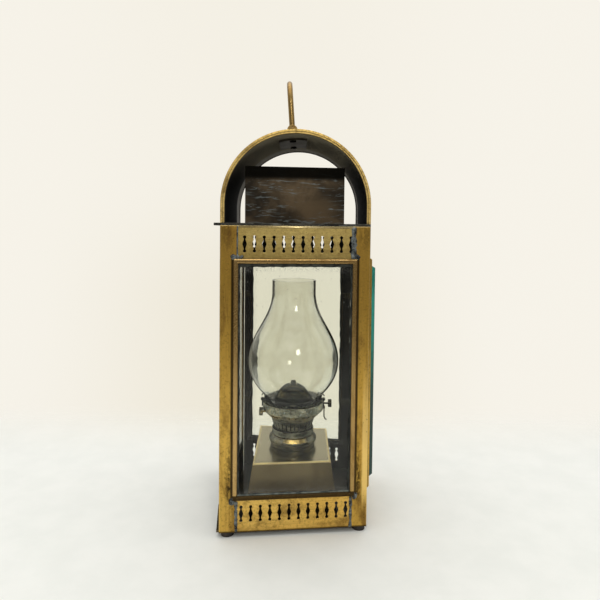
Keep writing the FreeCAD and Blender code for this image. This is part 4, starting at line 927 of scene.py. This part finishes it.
LOWER_LUMP_OUT = 0.0006
LOWER_LUMP_Z = SILL_Z - 0.0005
LOWER_LUMP_REACH = 0.0034
UPPER_LUMP_Z = HEAD_Z + 0.0018
UPPER_LUMPS = [(0.0, 0.0030), (0.0042, 0.0024), (0.0080, 0.0018)]


def add_solder():
    """Solder on the joints between posts and vent strips, and lumps at the bead frames' corners."""
    for number, (face, plane) in enumerate(FACES.items()):
        builder = bmesh.new()
        for side in (-1, 1):
            joint = side * (plane.half - plane.flange)
            seed = 11.0 * number + 3.0 * side
            add_seam(builder, face, joint, LOWER_SEAM, seed)
            upper = BROAD_SEAM if face == "front" and side == 1 else UPPER_SEAM
            add_seam(builder, face, joint, upper, seed + 1.0)
            if face == "right":
                continue
            corner = joint + side * BEAD_LAP
            add_lump(builder, face, corner + side * LOWER_LUMP_OUT, LOWER_LUMP_Z, LOWER_LUMP_REACH,
                     seed + 2.0)
            for inward, reach in UPPER_LUMPS[:3 if side == -1 else 2]:
                add_lump(builder, face, corner - side * inward, UPPER_LUMP_Z, reach,
                         seed + 4.0 + 100.0 * inward)
        add_piece("solder_" + face, builder, solder)


PUTTY_STEPS = 60
PUTTY_WIDTHS = {"bottom": 0.0016, "side": 0.0022, "top": 0.0036}
PUTTY_LAP = 0.0002
PUTTY_BACK = -SHEET - 0.00003
PUTTY_TIP = -SHEET + 0.00012
PUTTY_FRONT = 0.0006
PUTTY_HOLLOW = -0.0001
INWARD = [(0.0, 1.0), (-1.0, 0.0), (0.0, -1.0), (1.0, 0.0)]


def between(a, b, share):
    return a[0] + (b[0] - a[0]) * share, a[1] + (b[1] - a[1]) * share


def add_putty():
    """Run putty along the glass inside each bead frame."""
    for number, face in enumerate(("front", "back", "left")):
        plane = FACES[face]
        half = plane.half - plane.flange + BEAD_LAP - BEAD_WIDTH + PUTTY_LAP
        low = SILL_Z + BEAD_WIDTH - PUTTY_LAP
        high = HEAD_Z - BEAD_WIDTH + PUTTY_LAP
        outer = [(-half, low), (half, low), (half, high), (-half, high)]
        left, right = -half + PUTTY_WIDTHS["side"], half - PUTTY_WIDTHS["side"]
        floor, roof = low + PUTTY_WIDTHS["bottom"], high - PUTTY_WIDTHS["top"]
        inner = [(left, floor), (right, floor), (right, roof), (left, roof)]
        rings = []
        for k in range(4):
            after = (k + 1) % 4
            for i in range(PUTTY_STEPS):
                edge = between(outer[k], outer[after], i / PUTTY_STEPS)
                tip = between(inner[k], inner[after], i / PUTTY_STEPS)
                spot = on_face(face, *tip, 0.0)
                wander = 0.0007 * ragged(spot, 140.0, number + 1.0)
                wander += 0.0003 * ragged(spot, 600.0, number + 4.0)
                tip = (tip[0] + INWARD[k][0] * wander, tip[1] + INWARD[k][1] * wander)
                middle = ((edge[0] + tip[0]) / 2, (edge[1] + tip[1]) / 2)
                rings.append([
                    on_face(face, *edge, PUTTY_BACK),
                    on_face(face, *edge, PUTTY_FRONT),
                    on_face(face, *middle, PUTTY_HOLLOW + 0.2 * wander),
                    on_face(face, *tip, PUTTY_TIP),
                    on_face(face, *tip, PUTTY_BACK),
                ])
        builder = bmesh.new()
        skin(builder, rings, True)
        add_piece("putty_" + face, builder, putty)


TEETH = 44
TOOTH_STEPS = 6
TOOTH_PITCH = 2.0 * math.pi / TEETH
TOOTH_INNER = GALLERY_RADIUS - 0.0018
TOOTH_OUTER = GALLERY_RADIUS - 0.0011
TOOTH_FOOT_Z = SEAT_Z - 0.0004
TOOTH_SHOULDER = 0.0007
TOOTH_RISE = 0.0024
TOOTH_LEAN = 0.0006
QUARTER = math.pi / 2
CLIP_GAP = math.radians(9.0)


def add_coronet():
    """Stand a ring of small leaf-shaped teeth on the gallery, open where the chimney clips are."""
    builder = bmesh.new()
    for tooth in range(TEETH):
        start = 2.0 * math.pi * tooth / TEETH
        middle = start + math.pi / TEETH
        if abs((middle + QUARTER / 2) % QUARTER - QUARTER / 2) < CLIP_GAP:
            continue
        rings = []
        for i in range(TOOTH_STEPS + 1):
            share = i / TOOTH_STEPS
            turn = start + TOOTH_PITCH * (0.03 + 0.94 * share)
            top = SEAT_Z + (TOOTH_SHOULDER + TOOTH_RISE * math.sin(math.pi * share) ** 0.7)
            lean = TOOTH_LEAN * math.sin(math.pi * share)
            rings.append([
                round_lamp(TOOTH_INNER, turn, TOOTH_FOOT_Z),
                round_lamp(TOOTH_OUTER, turn, TOOTH_FOOT_Z),
                round_lamp(TOOTH_OUTER + lean, turn, top),
                round_lamp(TOOTH_INNER + lean, turn, top),
            ])
        skin(builder, rings, False)
    add_piece("gallery_teeth", builder, teeth_brass)


# Sprung tabs: angle in degrees and how tall; then radius and rise along their bend
SPRINGS = [(-25.0, 0.9), (-14.0, 1.2), (14.5, 1.0), (26.0, 0.8),
           (154.0, 0.8), (166.0, 1.1), (195.0, 1.2), (206.0, 0.9)]
SPRING_PATH = [(0.0336, -0.0004), (0.0338, 0.0026), (0.0345, 0.0041),
               (0.0358, 0.0045), (0.0368, 0.0036), (0.0371, 0.0022)]
SPRING_HALF_WIDTH = 0.0015
SPRING_HALF_SHEET = 0.0004


def add_springs():
    """Bend small sprung tabs out of the gallery's rim, to the left and right."""
    builder = bmesh.new()
    for degrees, tall in SPRINGS:
        turn = math.radians(degrees)
        outward = Vector((math.cos(turn), math.sin(turn), 0.0))
        sideways = UP.cross(outward) * SPRING_HALF_WIDTH
        points = []
        for radius, rise in SPRING_PATH:
            stretch = tall if rise > 0.0 else 1.0
            points.append(outward * radius + UP * (SEAT_Z + rise * stretch))
        rings = []
        for i, point in enumerate(points):
            run = points[min(i + 1, len(points) - 1)] - points[max(i - 1, 0)]
            off = sideways.cross(run).normalized() * SPRING_HALF_SHEET
            middle = point + Vector((LAMP_X, 0.0, 0.0))
            rings.append([
                middle - sideways - off, middle + sideways - off,
                middle + sideways + off, middle - sideways + off,
            ])
        skin(builder, rings, False)
    add_piece("gallery_springs", builder, teeth_brass)


# Section of a fillet: up from the deck's top and out of the face
TOP_FILLET = [(-0.00190, -0.00005), (-0.00190, 0.00040), (-0.00176, 0.00047), (-0.00168, 0.00046),
              (-0.00022, 0.00018), (-0.00014, 0.00014), (-0.00008, -0.00005)]
FILLET_SHORT = 0.0012


def add_top_fillets():
    """Lay a fine sloping fillet along the top of each upper vent strip, under the deck."""
    for face, plane in FACES.items():
        reach = plane.half - plane.flange - FILLET_SHORT
        rings = []
        for end in (-reach, reach):
            rings.append([on_face(face, end, DECK_Z + up, out) for up, out in TOP_FILLET])
        builder = bmesh.new()
        skin(builder, rings, False)
        add_piece("top_fillet_" + face, builder, fillet_brass)


# Section of the skirt: radius and rise above the chimney's seat
SKIRT = [(0.0200, 0.0004), (0.0216, 0.0004), (0.0219, 0.0008), (0.0213, 0.0034), (0.0209, 0.0040),
         (0.0203, 0.0040), (0.0203, 0.0034), (0.0207, 0.0030), (0.0211, 0.0012), (0.0200, 0.0012)]
SKIRT_AROUND = 72


def add_skirt():
    """Lay a dark collar round the foot of the flame dome, inside the chimney."""
    rings = []
    for i in range(SKIRT_AROUND):
        turn = 2.0 * math.pi * i / SKIRT_AROUND
        rings.append([round_lamp(radius, turn, SEAT_Z + rise) for radius, rise in SKIRT])
    builder = bmesh.new()
    skin(builder, rings, True)
    add_piece("dome_skirt", builder, dome_brass)


add_solder()
add_putty()
add_coronet()
add_springs()
add_top_fillets()
add_skirt()


# Camera at the photograph's angle

CAMERA_PLACE = Vector((0.0035, -0.6162, 0.3098))
CAMERA_YAW = 0.0004
CAMERA_PITCH = 0.0399
CAMERA_ROLL = -0.0101
CAMERA_NEAR = 0.01
FOCAL_PIXELS = 543.0
PICTURE = 600.0
SENSOR = 36.0
CENTRE_Y = 252.0


def make_camera():
    forward = Vector((
        math.sin(CAMERA_YAW) * math.cos(CAMERA_PITCH),
        math.cos(CAMERA_YAW) * math.cos(CAMERA_PITCH),
        -math.sin(CAMERA_PITCH),
    ))
    level = Vector((math.cos(CAMERA_YAW), -math.sin(CAMERA_YAW), 0.0))
    down = forward.cross(level)
    right = level * math.cos(CAMERA_ROLL) + down * math.sin(CAMERA_ROLL)
    up = level * math.sin(CAMERA_ROLL) - down * math.cos(CAMERA_ROLL)
    turn = Matrix((right, up, -forward)).transposed().to_4x4()
    data = bpy.data.cameras.new("photo_camera")
    data.sensor_width = SENSOR
    data.lens = SENSOR * FOCAL_PIXELS / PICTURE
    data.shift_y = (CENTRE_Y - PICTURE / 2) / PICTURE
    data.clip_start = CAMERA_NEAR
    camera = bpy.data.objects.new("photo_camera", data)
    camera.matrix_world = Matrix.Translation(CAMERA_PLACE) @ turn
    scene.collection.objects.link(camera)
    scene.camera = camera


make_camera()
scene.view_settings.view_transform = "Standard"


# Light and stage

WALL = (0.925, 0.892, 0.812)
WALL_PAINTED_SHADE = (0.825, 0.775, 0.645)
PAINTED_SHADE_CENTRE_X = -0.06
ROOM_LOW = (1.0, 0.965, 0.90)
ROOM_HIGH = (0.98, 0.985, 1.0)
ROOM_GLOW = (0.24, 0.66)
ROOM_GLOW_ABOVE = 0.48
FLOOR_DARK = (0.825, 0.835, 0.78)
FLOOR_LIGHT = (0.865, 0.87, 0.815)
FLOOR_SPECKS = (0.74, 0.75, 0.70)
FLOOR_FAR = (0.19, 0.18, 0.16)
FLOOR_LINE_Y = 0.125
FLOOR_REACH = 1.1
FLOOR_HALF = 6.0
LAMPS = {
    "window_lamp": {"place": (0.36, -1.52, 0.93), "aim": (0.0, 0.0, 0.2), "size": 0.30,
                    "power": 3.6, "tint": (1.0, 0.97, 0.92)},
    "top_lamp": {"place": (-0.06, -0.05, 1.45), "aim": (0.0, 0.0, 0.0), "size": 1.20,
                 "power": 6.9, "tint": (1.0, 0.985, 0.96)},
}


def seen_directly(g):
    """One for rays that come straight from the camera or through glass, zero for bounced light."""
    path = g.add("LightPath")
    bounces = g.plus(path.outputs["Diffuse Depth"], path.outputs["Glossy Depth"])
    through = g.times(path.outputs["Is Transmission Ray"], g.math("LESS_THAN", bounces, 0.5))
    return g.larger(path.outputs["Is Camera Ray"], through)


def make_world():
    """Warm pale wall for the camera with a painted shade, darker and yellower, low down near the
    lantern; and for the light a room that is brighter above and behind.
    """
    world = bpy.data.worlds.new("studio")
    world.use_nodes = True
    g = Graph(world.node_tree)
    x, y, z = g.axes(g.add("TexCoord").outputs["Generated"])
    light = g.add("Background")
    g.put(light.inputs["Color"], g.mix(g.ramp(z, -0.2, 0.8), ROOM_LOW, ROOM_HIGH))
    glow = g.plus(g.ramp(y, -0.5, 0.6, *ROOM_GLOW), g.ramp(z, 0.0, 0.9, 0.0, ROOM_GLOW_ABOVE))
    g.put(light.inputs["Strength"], glow)
    wall = g.add("Background")
    # Painted shade on the wall: darker and yellower low down, round a point just left of the
    # lantern
    aside = g.math("ABSOLUTE", g.plus(x, -PAINTED_SHADE_CENTRE_X))
    warm_painted_light = g.times(g.ramp(aside, 0.05, 0.42, 0.75, 0.0), g.ramp(z, 0.10, -0.14, 0.25, 1.0))
    g.put(wall.inputs["Color"], g.mix(warm_painted_light, WALL, WALL_PAINTED_SHADE))
    both = g.either(seen_directly(g), light.outputs[0], wall.outputs[0])
    g.put(g.add("OutputWorld").inputs["Surface"], both)
    scene.world = world


def floor_finish():
    """Pale painted floor that runs out into the colour of the wall."""
    material, g = new_graph("stage_floor")
    mottle = g.noise(22.0, 5.0, 0.6)
    grain = g.noise(260.0, 4.0, 0.65)
    base = g.mix(g.ramp(mottle, 0.3, 0.7), FLOOR_DARK, FLOOR_LIGHT)
    base = g.mix(g.ramp(grain, 0.60, 0.80, 0.0, 0.25), base, FLOOR_SPECKS)
    near = g.principled(Base_Color=base, Roughness=0.8, Normal=g.bump(grain, 0.0004, 0.25))
    dim = g.add("Emission")
    g.put(dim.inputs["Color"], colour(FLOOR_FAR))
    far = g.either(seen_directly(g), dim.outputs[0], g.transparent())
    behind = g.ramp(g.axes(g.position())[1], FLOOR_LINE_Y - 0.035, FLOOR_LINE_Y + 0.22)
    away = g.ramp(g.vector("LENGTH", g.position()), FLOOR_REACH * 0.45, FLOOR_REACH)
    g.surface(g.either(g.larger(behind, away), near, far))
    return material


def make_floor():
    mesh = bpy.data.meshes.new("stage_floor")
    signs = ((-1, -1), (1, -1), (1, 1), (-1, 1))
    corners = [(x * FLOOR_HALF, y * FLOOR_HALF, 0.0) for x, y in signs]
    mesh.from_pydata(corners, [], [(0, 1, 2, 3)])
    mesh.materials.append(floor_finish())
    floor = bpy.data.objects.new("stage_floor", mesh)
    scene.collection.objects.link(floor)


def make_lamp(name, place, aim, size, power, tint):
    data = bpy.data.lights.new(name, "AREA")
    data.shape = "SQUARE"
    data.size = size
    data.energy = power
    data.color = tint
    lamp = bpy.data.objects.new(name, data)
    lamp.location = place
    lamp.rotation_euler = (Vector(aim) - Vector(place)).to_track_quat("-Z", "Y").to_euler()
    scene.collection.objects.link(lamp)


make_world()
make_floor()
for lamp_name, settings in LAMPS.items():
    make_lamp(lamp_name, **settings)
